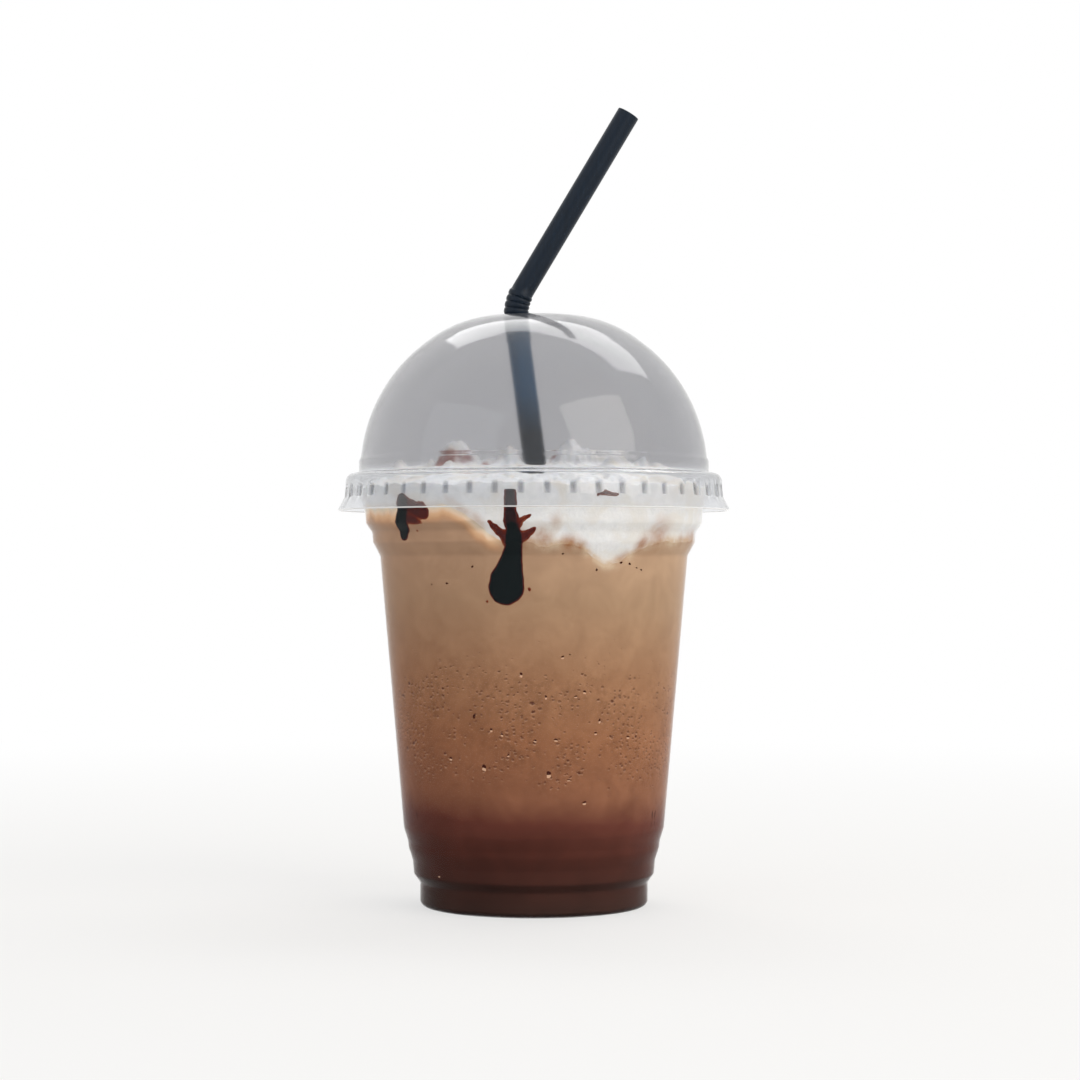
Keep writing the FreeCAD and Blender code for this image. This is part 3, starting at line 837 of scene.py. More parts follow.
@dataclass(frozen=True)
class ChocolateSauce:
    """Thick chocolate sauce: glossy and almost black where it is deep, red-brown where it thins out."""

    deep: str = "#0A1214"
    thin: str = "#5C1F14"

    def material(self) -> bpy.types.Material:
        """Colour by the thickness attribute."""
        material, tree = new_material("chocolate_sauce_film")
        place = add_node(tree, "TexCoord").outputs["Object"]
        thick = add_node(tree, "Attribute", attribute_name="thickness").outputs["Fac"]
        ripple = add_node(tree, "TexNoise", {"Vector": place, "Scale": 1 / (1.6 * MM),
                                             "Detail": 4.0}).outputs[0]
        uneven = add_node(tree, "MapRange", {"Value": ripple, 1: 0.3, 2: 0.7, 3: -0.09, 4: 0.09}).outputs[0]
        depth = add_node(tree, "Math", {0: thick, 1: uneven}, operation="ADD").outputs[0]
        tone = add_node(tree, "ValToRGB", {0: depth}, stops=(
            (0.0, "#8A4A30"), (0.16, self.thin), (0.42, "#37191A"), (0.66, self.deep))).outputs[0]
        sauce = add_node(tree, "BsdfPrincipled", {
            "Base Color": tone, "Roughness": 0.3, "IOR": 1.45, "Specular IOR Level": 0.1,
        })
        add_node(tree, "OutputMaterial", {"Surface": sauce.outputs[0]})
        return material


# ---------------------------------------------------------------------------------------------------------
# Cup and lid
# ---------------------------------------------------------------------------------------------------------


@dataclass
class Cup:
    """Clear cup: recessed base panel, stepped foot, tapered body, stepped shoulder and rolled rim."""

    height: float
    rim_radius: float
    wall: float = 0.5
    rim_width: float = 2.9
    rim_drop: float = 2.6
    rim_roll: float = 1.15
    mouth_depth: float = 4.0
    shoulder_width: float = 5.4
    shoulder_height: float = 21.2
    body_taper: float = 6.25
    body_foot_z: float = 20.6
    foot_step: float = 4.3
    foot_height: float = 6.2
    foot_corner: float = 1.6
    foot_ring_width: float = 3.6
    panel_rise: float = 3.0
    panel_slope: float = 2.4
    step_round: float = 1.1
    foot_rings: tuple = ((1.65, 8.5, 12.0), (3.05, 15.4, 17.0))
    shoulder_rings: tuple = ((1.9, 3.6, 6.2), (3.7, 8.5, 11.4))
    segments: int = 256

    def __post_init__(self) -> None:
        """Each stage of the wall is narrower than the one above it."""
        self.mouth_radius = self.rim_radius - self.rim_width
        self.body_top_radius = self.mouth_radius - self.shoulder_width
        self.body_top_z = self.height - self.shoulder_height
        self.body_foot_radius = self.body_top_radius - self.body_taper
        self.foot_radius = self.body_foot_radius - self.foot_step
        self.panel_radius = self.foot_radius - self.foot_ring_width - self.panel_slope

    def outline(self) -> np.ndarray:
        """Corners of the outer face, from the middle of the base panel out and up to the rolled rim's end."""
        draft = (self.body_top_radius - self.body_foot_radius) / (self.body_top_z - self.body_foot_z)
        small = self.step_round
        corners = [
            (0.0, self.panel_rise, 0.0),
            (self.panel_radius, self.panel_rise, small),
            (self.panel_radius + self.panel_slope, 0.0, small),
            (self.foot_radius, 0.0, self.foot_corner),
            (self.foot_radius, self.foot_height, small),
        ]
        for proud, low, high in self.foot_rings:
            corners.append((self.foot_radius + proud, low, small))
            corners.append((self.foot_radius + proud + draft * (high - low), high, small))
        corners.append((self.body_foot_radius, self.body_foot_z, small))
        corners.append((self.body_top_radius, self.body_top_z, small))
        for proud, low, high in self.shoulder_rings:
            corners.append((self.body_top_radius + proud, self.body_top_z + low, small))
            upper = self.body_top_radius + proud + draft * (high - low)
            corners.append((upper, self.body_top_z + high, small))
        roll_top, roll_edge = self.height - self.wall, self.rim_radius - self.wall
        corners += [
            (self.mouth_radius, self.height - self.mouth_depth, small),
            (self.mouth_radius, roll_top, self.rim_roll),
            (roll_edge, roll_top, self.rim_roll),
            (roll_edge, self.height - self.rim_drop, 0.0),
        ]
        return np.array(corners)

    def inside(self, into_wall: float) -> np.ndarray:
        """The profile that a filling takes when it reaches a given depth into the wall, up to the mouth."""
        line = rounded(beside(self.outline(), self.wall - into_wall))
        top = np.argmax(line[:, 1] > self.height - self.wall)
        return line[:top]

    def inside_radius(self, height: np.ndarray, into_wall: float) -> np.ndarray:
        """Radius of that profile at each height above the foot's corner."""
        line = self.inside(into_wall)
        rising = line[np.argmin(line[:, 1]):]
        return np.interp(height, rising[:, 1], rising[:, 0])

    def build(self, finish: ClearPET) -> bpy.types.Object:
        """The outer and the inner face turned about the axis, one closed wall."""
        outline = self.outline()
        outer, inner = rounded(outline), rounded(beside(outline, self.wall))
        line = np.vstack((outer, inner[::-1]))
        points = turned(line[:, :1], line[:, 1:], angles_round(self.segments)[None, :])
        return make_piece("cup_wall", grid(points).outward(), finish.material(), ["cup"])


@dataclass
class DomeLid:
    """Clear lid: a dome with a hole in its crown, a bead, a shelf over the cup's rim, and a ribbed skirt."""

    cup: Cup
    top: float
    lip_radius: float
    wall: float = 0.4
    seat_clearance: float = 0.05
    skirt_clearance: float = 0.15
    dome_inset: float = 0.35
    shoulder_inset: float = 2.45
    shoulder_drop: float = 17.85
    crown_radius: float = 19.0
    side_curve: float = 42.5
    crown_curve: float = 32.3
    hole_radius: float = 8.5
    bead_rise: float = 3.35
    bead_height: float = 1.0
    bead_step: float = 0.5
    bead_round: float = 0.8
    shelf_round: float = 2.0
    skirt_drop: float = 6.3
    skirt_spread: float = 0.55
    lip_drop: float = 3.3
    lip_round: float = 1.0
    ribs: int = 48
    rib_depth: float = 0.8
    rib_width: float = 0.48
    rib_low: float = 6.6
    rib_high: float = 3.2
    edge_width: float = 0.3
    segments: int = 432
    rib_fade: float = 0.7
    rib_clear: float = 2.0
    # How strongly the ribs' flanks are marked for painted shade.
    flank_shade_scale: float = 2.4

    def __post_init__(self) -> None:
        """The shelf lies over the rim, the skirt clears it, and the dome stands on the mouth."""
        self.shelf_z = self.cup.height + self.seat_clearance + self.wall
        self.skirt_radius = self.cup.rim_radius + self.skirt_clearance + self.wall
        self.dome_radius = self.cup.mouth_radius - self.dome_inset

    def outline(self) -> np.ndarray:
        """Corners of the outer face, from the skirt's lip up over the shelf and the dome to the hole."""
        bead = self.dome_radius + self.bead_step
        return np.array([
            (self.lip_radius, self.shelf_z - self.skirt_drop - self.lip_drop, 0.0),
            (self.skirt_radius + self.skirt_spread, self.shelf_z - self.skirt_drop, self.lip_round),
            (self.skirt_radius, self.shelf_z, self.shelf_round),
            (bead, self.shelf_z, self.bead_round),
            (bead, self.shelf_z + self.bead_rise, self.bead_round),
            (self.dome_radius, self.shelf_z + self.bead_rise + self.bead_height, self.bead_round),
            (self.dome_radius - self.shoulder_inset, self.top - self.shoulder_drop, self.side_curve),
            (self.crown_radius, self.top, self.crown_curve),
            (self.hole_radius, self.top, 0.0),
        ])

    def with_edges(self, line: np.ndarray) -> np.ndarray:
        """A line with one more point close to each end, so that the painted highlight on the sheet's ends
        stays narrow.
        """
        ends = [point + (other - point) * min(1, self.edge_width / np.hypot(*(other - point)))
                for point, other in ((line[0], line[1]), (line[-1], line[-2]))]
        return np.vstack((line[:1], ends[:1], line[1:-1], ends[1:], line[-1:]))

    def build(self, finish: ClearPET) -> bpy.types.Object:
        """Both faces turned about the axis, with the ribs pressed into the skirt.

        A rib moves both faces in by depth · exp(−(distance round / width)²), faded out at its two ends. Its
        flanks are marked, and the finish tints them greyer as painted shade.
        """
        outline = self.outline()
        outer, inner = (self.with_edges(rounded(side)) for side in (outline, beside(outline, self.wall)))
        line = np.vstack((outer, inner[::-1]))
        angle = angles_round(self.segments)[None, :]
        radius, height = line[:, :1], line[:, 1:]
        pitch = FULL_TURN / self.ribs
        away = ((angle / pitch) % 1 - 0.5) * pitch * self.skirt_radius
        low, high = self.shelf_z - self.rib_low, self.shelf_z - self.rib_high
        ends = smoothstep(height, low, low + self.rib_fade)
        ends = ends * (1 - smoothstep(height, high - self.rib_fade, high))
        rib = np.exp(-(away / self.rib_width) ** 2) * ends * (radius > self.dome_radius + self.rib_clear)
        # Painted shade: the ribs' flanks are marked for a greyer tint.
        flank_shade = np.clip(self.flank_shade_scale * rib * np.abs(away) / self.rib_width, 0, 1)
        points = turned(radius - self.rib_depth * rib, height, angle)
        # The first and last rows of each face, the sheet's ends, are marked for a painted highlight.
        row = np.arange(len(line))[:, None]
        cut = np.isin(row, (0, len(outer) - 1, len(outer), len(line) - 1)) * np.ones_like(angle)
        surface = grid(points, closed=True, values={"rib": flank_shade, "cut": cut})
        return make_piece("lid", surface.outward(), finish.material(), ["dome_lid"])


# ---------------------------------------------------------------------------------------------------------
# Straw
# ---------------------------------------------------------------------------------------------------------


@dataclass
class Straw:
    """Thin tube that leans in the cup, bends once in its corrugations and runs straight to its tip."""

    cup: Cup
    lid: DomeLid
    radius: float = 3.0
    wall: float = 0.3
    foot_inset: float = 9.05
    floor_gap: float = 0.3
    edge_gap: float = 0.4
    bend_rise: float = 3.0
    bend_radius: float = 13.0
    tip_angle: float = math.radians(30.8)
    tip_length: float = 58.9
    ridge_proud: float = 0.3
    ridge_pitch: float = 1.45
    ridge_count: int = 9
    ridge_shift: float = -3.0
    segments: int = 40
    run_step: float = 2.0
    ridge_steps: int = 8
    ridge_power: float = 0.6

    def __post_init__(self) -> None:
        """The straw stands on the base panel and leans on the hole's edge."""
        exit_x = self.radius + self.ridge_proud + self.edge_gap - self.lid.hole_radius
        floor = self.cup.panel_rise + self.cup.wall + self.floor_gap
        foot_x = self.cup.panel_radius - self.foot_inset
        lean = math.atan2(foot_x - exit_x, self.lid.top - floor)
        self.foot = np.array([foot_x, 0.0, floor + self.radius * math.sin(lean)])
        lower = np.array([exit_x - foot_x, 0.0, self.lid.top - self.foot[2]])
        self.lower = lower / np.linalg.norm(lower)
        self.upper = np.array([math.sin(self.tip_angle), 0.0, math.cos(self.tip_angle)])
        rise = self.lid.top + self.bend_rise - self.foot[2]
        self.corner = self.foot + self.lower * (rise / self.lower[2])
        self.turn = math.acos(float(self.lower @ self.upper))
        self.first = self.corner - self.lower * self.bend_radius * math.tan(self.turn / 2)
        self.centre = self.first + self.bend_radius * np.array([self.lower[2], 0.0, -self.lower[0]])
        self.half_bend = self.turn / 2 * self.bend_radius
        self.low_end = -self.half_bend - float(np.linalg.norm(self.first - self.foot))
        self.high_end = self.half_bend + self.tip_length - float(np.linalg.norm(self.first - self.corner))

    def place(self, travel: np.ndarray) -> tuple[np.ndarray, np.ndarray]:
        """Middle line by travel from the middle of the bend: straight, an arc about the centre, straight.

        Args:
            travel: Lengths along the line.

        Returns:
            The places, and at each the direction across the line in the plane of the bend.
        """
        bent = np.clip(travel, -self.half_bend, self.half_bend)
        lean = math.atan2(self.lower[0], self.lower[2]) + (bent + self.half_bend) / self.bend_radius
        ahead = np.stack((np.sin(lean), 0 * lean, np.cos(lean)), axis=-1)
        across = np.stack((np.cos(lean), 0 * lean, -np.sin(lean)), axis=-1)
        middle = self.centre - self.bend_radius * across + ahead * (travel - bent)[:, None]
        return middle, across

    def proud(self, travel: np.ndarray) -> np.ndarray:
        """How far the corrugations stand out: proud · |cos| to a power under 1, over whole ridges."""
        inside = np.abs(travel - self.ridge_shift) < self.ridge_count * self.ridge_pitch / 2
        wave = np.abs(np.cos(math.pi * (travel - self.ridge_shift) / self.ridge_pitch)) ** self.ridge_power
        return self.ridge_proud * wave * inside

    def build(self, finish: StrawPlastic) -> bpy.types.Object:
        """The outer and inner face carried along the line, joined by rings at both ends."""
        ridges = self.ridge_count * self.ridge_pitch / 2
        travel = np.concatenate((
            np.arange(self.low_end, self.ridge_shift - ridges, self.run_step),
            np.linspace(self.ridge_shift - ridges, self.ridge_shift + ridges,
                        self.ridge_count * self.ridge_steps, endpoint=False),
            np.linspace(self.ridge_shift + ridges, self.high_end, int(self.tip_length / self.run_step)),
        ))
        middle, across = self.place(travel)
        angle = angles_round(self.segments)
        aside = np.array([0.0, 1.0, 0.0])
        ring = np.cos(angle)[None, :, None] * across[:, None, :] + np.sin(angle)[None, :, None] * aside
        faces = []
        for depth in (0.0, self.wall):
            reach = self.radius - depth + self.proud(travel)
            faces.append(middle[:, None, :] + ring * reach[:, None, None])
        points = np.concatenate((faces[0], faces[1][::-1]))
        tube = grid(points, closed=True).outward()
        return make_piece("straw_tube", tube, finish.material(), ["straw"])


# ---------------------------------------------------------------------------------------------------------
# Drink
# ---------------------------------------------------------------------------------------------------------


@dataclass
class Layers:
    """Heights of the drink's layers over the cup's width."""

    cup: Cup
    dark_level: float = 24.2
    dark_fall: float = 0.028
    dark_waves: tuple = ((-0.39, -0.26, 0.8, 12.0), (0.31, 0.22, -0.9, 14.0), (0.09, -0.52, 0.5, 9.0))
    coffee_depth: float = 17.5
    arch_rise: float = 8.4
    arch_place: float = -0.305
    arch_softness: float = 5.0
    cream_pockets: tuple = (
        (0.44, -0.81, -7.2, 8.0), (0.07, -0.87, -1.0, 5.0), (-0.17, 0.83, -7.0, 9.0), (0.52, 0.65, 4.0, 10.0),
        (-0.74, 0.39, -4.0, 9.0), (0.13, 0.09, -3.0, 12.0),
    )
    cream_depth: float = 3.4
    cream_crown: float = 5.4
    cream_mounds: tuple = (
        (-0.43, -0.13, 5.6, 5.5), (-0.59, 0.07, 3.0, 6.0), (-0.77, -0.04, 3.2, 3.6), (-0.25, 0.13, 1.6, 3.4),
        (-0.16, -0.24, 3.2, 3.4), (0.21, -0.11, 5.4, 5.4), (0.38, 0.09, 4.0, 5.0), (0.52, -0.20, 2.6, 4.6),
        (0.62, 0.02, 4.4, 3.0), (0.74, -0.13, 2.4, 4.2), (-0.48, -0.57, 2.8, 5.4), (0.09, -0.63, 2.4, 6.0),
        (0.44, -0.59, 3.2, 5.2), (-0.35, 0.48, 4.6, 6.2), (0.09, 0.39, 3.8, 5.0), (0.39, 0.52, 4.2, 5.6),
        (-0.04, 0.74, 2.6, 4.6), (-0.70, 0.44, 2.4, 4.6), (-0.02, -0.04, -2.4, 4.0),
    )

    def dark(self, x: np.ndarray, y: np.ndarray) -> np.ndarray:
        """Top of the dark layer: nearly level, with a slight fall and low waves."""
        return self.dark_level - self.dark_fall * x + bumps(x, y, self.dark_waves, self.cup.mouth_radius)

    def coffee(self, x: np.ndarray, y: np.ndarray) -> np.ndarray:
        """Top of the coffee: an arch on one side, a lower level on the other, and the cream's pockets."""
        reach = self.cup.mouth_radius
        arch = self.arch_rise / 2 * (1 - np.tanh((x - self.arch_place * reach) / self.arch_softness))
        return self.cup.height - self.coffee_depth + arch + bumps(x, y, self.cream_pockets, reach)

    def cream(self, x: np.ndarray, y: np.ndarray) -> np.ndarray:
        """Top of the cream: a low crown with torn mounds, under the rim at the wall."""
        reach = self.cup.mouth_radius
        crown = self.cream_crown * (1 - (x * x + y * y) / reach**2)
        return self.cup.height - self.cream_depth + crown + bumps(x, y, self.cream_mounds, reach)


@dataclass
class Filling:
    """The dark layer and the coffee over it, each a closed body that reaches just into the wall."""

    cup: Cup
    layers: Layers
    into_wall: float = 0.1
    segments: int = 400
    foot_top: float = 6.6
    rows_dark: int = 34
    rows_coffee: int = 150
    rows_top: int = 18
    ragged: float = 1.1
    ragged_size: float = 5.0
    foam_depth: float = 6.0
    soft_edge: float = 1.3
    # How much weaker the blend is on the arch, and how far toward -X, in mouth radii, the arch is full.
    arch_held: float = 0.7
    arch_full: float = 0.26
    # Small stains near the coffee's top: the noise's size, and how far up and down they reach.
    stain_size: float = 6.0
    stain_reach: float = 2.2
    # Painted shade under the wall's steps, darker lines where the drink faces down: half the height that a
    # step is sought over, the slopes at which a line starts and is full, the heights between which the lines
    # grow weaker, and what is left of them.
    step_shade_near: float = 0.25
    step_shade_slopes: tuple[float, float] = (0.15, 0.8)
    step_shade_heights: tuple[float, float] = (30.0, 60.0)
    step_shade_above: float = 0.4
    # Stains: degrees from the front, mm above the coffee's top, degrees wide, mm high, strength.
    stains: tuple = (
        (-4.0, 0.6, 3.0, 2.6, 1.2), (3.0, 1.8, 3.6, 3.0, 1.3), (7.0, 5.4, 2.2, 2.4, 0.8),
        (12.0, 0.6, 3.0, 1.9, 1.7), (16.0, 0.2, 1.8, 1.4, 1.5), (33.0, 0.8, 3.0, 1.8, 1.2),
        (41.0, 1.6, 3.2, 2.6, 1.5), (48.0, 2.4, 6.0, 4.0, 1.3), (75.0, 0.8, 9.0, 2.4, 1.2),
        (118.0, 0.8, 8.0, 2.8, 1.4), (160.0, 0.6, 7.0, 2.4, 1.2), (205.0, 0.4, 8.0, 2.0, 1.3),
        (262.0, 0.2, 6.0, 1.6, 0.9),
    )

    def wall_height(self, level: Callable, angle: np.ndarray) -> np.ndarray:
        """Height at which a layer's top meets the wall: radius at height, height at radius, three times."""
        height = level(np.cos(angle) * self.cup.body_top_radius, np.sin(angle) * self.cup.body_top_radius)
        for _ in range(3):
            radius = self.cup.inside_radius(height, self.into_wall)
            height = level(np.cos(angle) * radius, np.sin(angle) * radius)
        return height

    def interface(self, x: np.ndarray, y: np.ndarray) -> np.ndarray:
        """Top of the coffee with the small waves that the cream left in it."""
        flat = np.stack((x, y, np.zeros_like(x)), axis=-1)
        return self.layers.coffee(x, y) + self.ragged * fractal(flat, self.ragged_size, 3, seed=5)

    def side(self, low: np.ndarray, high: np.ndarray, rows: int, angle: np.ndarray,
             into_wall: float | None = None) -> np.ndarray:
        """Points on the wall between two heights, evenly spaced up each line."""
        share = np.linspace(0, 1, rows)[:, None]
        height = low[None, :] * (1 - share) + high[None, :] * share
        radius = self.cup.inside_radius(height, self.into_wall if into_wall is None else into_wall)
        return turned(radius, height, angle[None, :])

    def cover(self, level: Callable, edge: np.ndarray, angle: np.ndarray) -> np.ndarray:
        """Points of a layer's top, from the wall in to the axis."""
        share = np.linspace(1, 0, self.rows_top + 1)[1:, None]
        radius = np.hypot(edge[:, 0], edge[:, 1])[None, :] * share
        x, y = radius * np.cos(angle), radius * np.sin(angle)
        return np.stack((x, y, level(x, y)), axis=-1)

    def height_share(self, points: np.ndarray) -> np.ndarray:
        """Height above the foot as a share of the drink's colour range, following the dark layer's top."""
        fall = self.layers.dark(points[..., 0], points[..., 1]) - self.layers.dark_level
        return (points[..., 2] - fall) / BlendedDrink.top

    def depth_below(self, points: np.ndarray) -> np.ndarray:
        """Depth below the top of the coffee, in mm; negative above it."""
        return self.interface(points[..., 0], points[..., 1]) - points[..., 2]

    def stained(self, points: np.ndarray) -> np.ndarray:
        """How strongly sauce has run into the coffee's top and the cream's foot.

        It is the greatest of some patches, each strength · exp(−across² / wide² − rise² / high²), and of
        smaller patches that a noise leaves within a few millimetres of the boundary.
        """
        side = np.degrees(np.arctan2(points[..., 0], -points[..., 1]))
        depth = self.depth_below(points)
        total = np.zeros(points.shape[:-1])
        for degrees, rise, wide, high, strength in self.stains:
            away = ((side - degrees + 180) % 360 - 180) / wide
            total = np.maximum(total, strength * np.exp(-away**2 - ((depth + rise) / high) ** 2))
        patches = smoothstep(fractal(points, self.stain_size, 3, seed=61), -0.1, 0.9)
        near = np.exp(-((depth + 0.5) / self.stain_reach) ** 2)
        return np.maximum(total, near * patches)

    def step_shaded(self, points: np.ndarray) -> np.ndarray:
        """Painted shade under the wall's steps: 1 where the radius grows fast with the height, and less up
        the cup.
        """
        near = self.step_shade_near
        fading = 1 - (1 - self.step_shade_above) * smoothstep(points[..., 2], *self.step_shade_heights)
        wider = (self.cup.inside_radius(points[..., 2] + near, self.into_wall)
                 - self.cup.inside_radius(points[..., 2] - near, self.into_wall))
        return fading * smoothstep(wider / (2 * near), *self.step_shade_slopes)

    def blend(self, points: np.ndarray) -> np.ndarray:
        """How near the boundary of coffee and cream: e to the −(distance / soft)², off the arch."""
        arch = smoothstep(-points[..., 0] / self.cup.mouth_radius, 0.12, self.arch_full)
        return np.exp(-(self.depth_below(points) / self.soft_edge) ** 2) * (1 - self.arch_held * arch)

    def foam(self, points: np.ndarray) -> np.ndarray:
        """Tan foam on the arch: 1 at the top of the coffee, and 0 some way below or off the arch."""
        reach = self.cup.mouth_radius
        arch = smoothstep(-points[..., 0] / reach, 0.10, self.arch_full)
        fading = self.foam_depth * (1 + 0.3 * fractal(points, 9.0, 2, seed=71))
        return np.clip(1 - self.depth_below(points) / fading, 0, 1) * arch

    def build(self, finish: bpy.types.Material) -> list[bpy.types.Object]:
        """Builds the dark layer and the coffee."""
        angle = angles_round(self.segments)
        dark_edge = self.wall_height(self.layers.dark, angle)
        base = self.cup.inside(self.into_wall)
        base = base[:np.argmax((base[:, 1] > self.foot_top) & (base[:, 0] > self.cup.panel_radius)) + 1]
        foot = turned(base[:, :1], base[:, 1:], angle[None, :])
        low = self.side(np.full_like(angle, base[-1, 1]), dark_edge, self.rows_dark, angle)[1:]
        top = self.cover(self.layers.dark, low[-1], angle)
        dark = np.concatenate((foot, low, top))
        rising = self.side(dark_edge, self.wall_height(self.interface, angle), self.rows_coffee, angle)
        under = self.cover(self.layers.dark, rising[0], angle)[::-1]
        over = self.cover(self.interface, rising[-1], angle)
        coffee = np.concatenate((under, rising, over))
        made = []
        bodies = (("dark_layer", dark, "chocolate_layer"), ("coffee", coffee, "blended_coffee"))
        for name, points, node in bodies:
            surface = grid(points, values={"level": self.height_share(points), "stain": self.stained(points),
                                           "foam": self.foam(points), "blend": self.blend(points),
                                           "crease": self.step_shaded(points)})
            made.append(make_piece(name, surface.outward(), finish, [node]))
        return made


@dataclass
class CreamHeap:
    """Whipped cream: it stands in torn mounds over the coffee and shows through the wall."""

    filling: Filling
    into_wall: float = 0.1
    segments: int = 620
    rows_side: int = 26
    rows_top: int = 104
    rows_under: int = 8
    puff: float = 1.7
    puff_size: float = 6.0
    tear: float = 0.8
    tear_size: float = 2.6
    # Torn lumps and notches: x and y in mm, height and radius.
    lumps: tuple = (
        (-19.6, -5.0, 1.5, 2.9), (-24.6, -6.0, 1.5, 3.2), (-28.5, -4.5, 1.2, 2.4), (-35.0, -3.0, 1.2, 2.2),
        (-16.6, -8.0, 0.8, 1.2), (-7.2, -8.5, 1.9, 1.9), (-3.8, -5.6, 2.2, 1.1), (-11.9, -6.5, 1.4, 2.0),
        (9.8, -6.0, 1.4, 2.8), (6.2, -8.0, 1.3, 1.6), (13.7, -6.0, 0.8, 1.6), (16.8, -6.5, 3.3, 3.2),
        (22.4, -4.0, 3.0, 3.2), (0.4, -6.0, -1.6, 3.0), (0.4, -14.0, -1.4, 4.0), (1.0, -26.0, -1.6, 5.0),
        (27.6, -5.0, 2.6, 0.9), (24.6, -4.0, -0.8, 0.9), (33.0, -6.0, 0.8, 1.8),
        (3.0, -14.0, 1.6, 2.0), (-12.0, 14.0, 2.2, 2.2), (10.0, 20.0, 2.6, 2.4), (-22.0, 20.0, 2.0, 2.2),
        (24.0, 16.0, 2.4, 2.0), (0.0, 30.0, 1.8, 2.0), (-32.0, 10.0, 1.6, 2.0), (15.0, 8.0, 1.8, 2.4),
    )
    # Sauce on the mounds: a place, a reach and a strength.
    sauce_patches: tuple[tuple[float, ...], ...] = (
        (-23.0, -9.0, 116.8, 4.4, 1.0), (-18.0, -8.5, 116.5, 3.2, 1.0), (-12.4, -9.0, 116.5, 3.0, 0.72),
        (4.6, -6.5, 117.5, 2.4, 1.0), (-3.4, -5.0, 116.5, 1.6, 0.8), (-6.0, -20.0, 112.0, 6.0, 0.8),
        (10.0, 18.0, 118.0, 5.0, 0.8), (-18.0, 24.0, 117.0, 5.0, 0.8), (22.0, 22.0, 116.0, 4.0, 0.6),
    )
    # How far noises move the puffs and tear the lumps' outlines, and the size of each noise.
    warp: float = 1.6
    warp_size: float = 9.0
    torn: float = 1.5
    torn_size: float = 2.4
    # The top grows smoother between two distances from the wall, down to a share of its roughness.
    calm_from: float = 9.0
    calm_to: float = 1.0
    calm_share: float = 0.35

    def surface_height(self, x: np.ndarray, y: np.ndarray) -> np.ndarray:
        """Top of the cream: the CAD's mounds, round puffs with creases, fine tears, and torn lumps.

        A lump's height is h / (1 + (distance / radius)⁶), so it stands as a block with steep sides, and the
        places are first moved by a noise, which tears its outline.
        """
        flat = np.stack((x, y, np.zeros_like(x)), axis=-1)
        still = np.zeros_like(x)
        wide = [fractal(flat, self.warp_size, 2, seed) for seed in (21, 22)]
        warp = self.warp * np.stack((*wide, still), axis=-1)
        fine = [fractal(flat, self.torn_size, 3, seed) for seed in (23, 24)]
        torn = self.torn * np.stack((*fine, still), axis=-1)
        reach = self.filling.cup.mouth_radius
        inner = 1 - smoothstep(np.hypot(x, y), reach - self.calm_from, reach - self.calm_to)
        rough = self.puff * (1.6 * billows(flat + warp, self.puff_size, 2, 31) - 0.6)
        rough += self.tear * (0.5 - 1.4 * billows(flat + 2 * warp, self.tear_size, 3, 41))
        moved = flat + torn
        for lump_x, lump_y, height, radius in self.lumps:
            away = ((moved[..., 0] - lump_x) ** 2 + (moved[..., 1] - lump_y) ** 2) / radius**2
            rough = rough + height / (1 + away**3)
        return self.filling.layers.cream(x, y) + rough * (self.calm_share + (1 - self.calm_share) * inner)

    def build(self, finish: bpy.types.Material) -> bpy.types.Object:
        """Underside on the coffee, side on the wall, and the torn top."""
        filling = self.filling
        angle = angles_round(self.segments)
        low = filling.wall_height(filling.interface, angle)
        reach = filling.cup.mouth_radius - filling.cup.wall + self.into_wall
        high = self.surface_height(np.cos(angle) * reach, np.sin(angle) * reach)
        side = filling.side(low, high, self.rows_side, angle, self.into_wall)
        share = np.linspace(1, 0, self.rows_top + 1)[1:, None]
        radius = np.hypot(side[-1, :, 0], side[-1, :, 1])[None, :] * share
        x, y = radius * np.cos(angle), radius * np.sin(angle)
        top = np.stack((x, y, self.surface_height(x, y)), axis=-1)
        share_low = np.linspace(0, 1, self.rows_under + 1)[:-1, None]
        radius_low = np.hypot(side[0, :, 0], side[0, :, 1])[None, :] * share_low
        x, y = radius_low * np.cos(angle), radius_low * np.sin(angle)
        under = np.stack((x, y, filling.interface(x, y) + 0.02), axis=-1)
        points = np.concatenate((under, side, top))
        values = {"stain": filling.stained(points), "sauce": self.sauce(points),
                  "blend": filling.blend(points)}
        return make_piece("cream", grid(points, values=values).outward(), finish,
                          ["whipped_cream"])

    def sauce(self, points: np.ndarray) -> np.ndarray:
        """Sauce on the mounds: the greatest of round patches, each strength · exp(−distance² / reach²)."""
        total = np.zeros(points.shape[:-1])
        for x, y, z, reach, strength in self.sauce_patches:
            away = ((points - np.array([x, y, z])) ** 2).sum(-1)
            total = np.maximum(total, strength * np.exp(-away / reach**2))
        return total


# ---------------------------------------------------------------------------------------------------------
# Sauce and marks on the wall
# ---------------------------------------------------------------------------------------------------------


class Film(Enum):
    """How thick a stroke of sauce lies, as a share of the thickest."""

    THIN = 0.34
    HALF = 0.6
    DEEP = 1.0


@dataclass(frozen=True)
class Stroke:
    """A stroke of sauce: places along it, each a way across, a height and the stroke's radius there."""

    film: Film
    places: tuple[tuple[float, float, float], ...]


@dataclass(frozen=True)
class Run:
    """Strokes that lie together on the wall, measured across from one angle about the axis."""

    degrees: float
    strokes: tuple[Stroke, ...]


# A distance in mm that every real one beats, to start a search for the greatest from.
FAR_OUTSIDE = -99.0


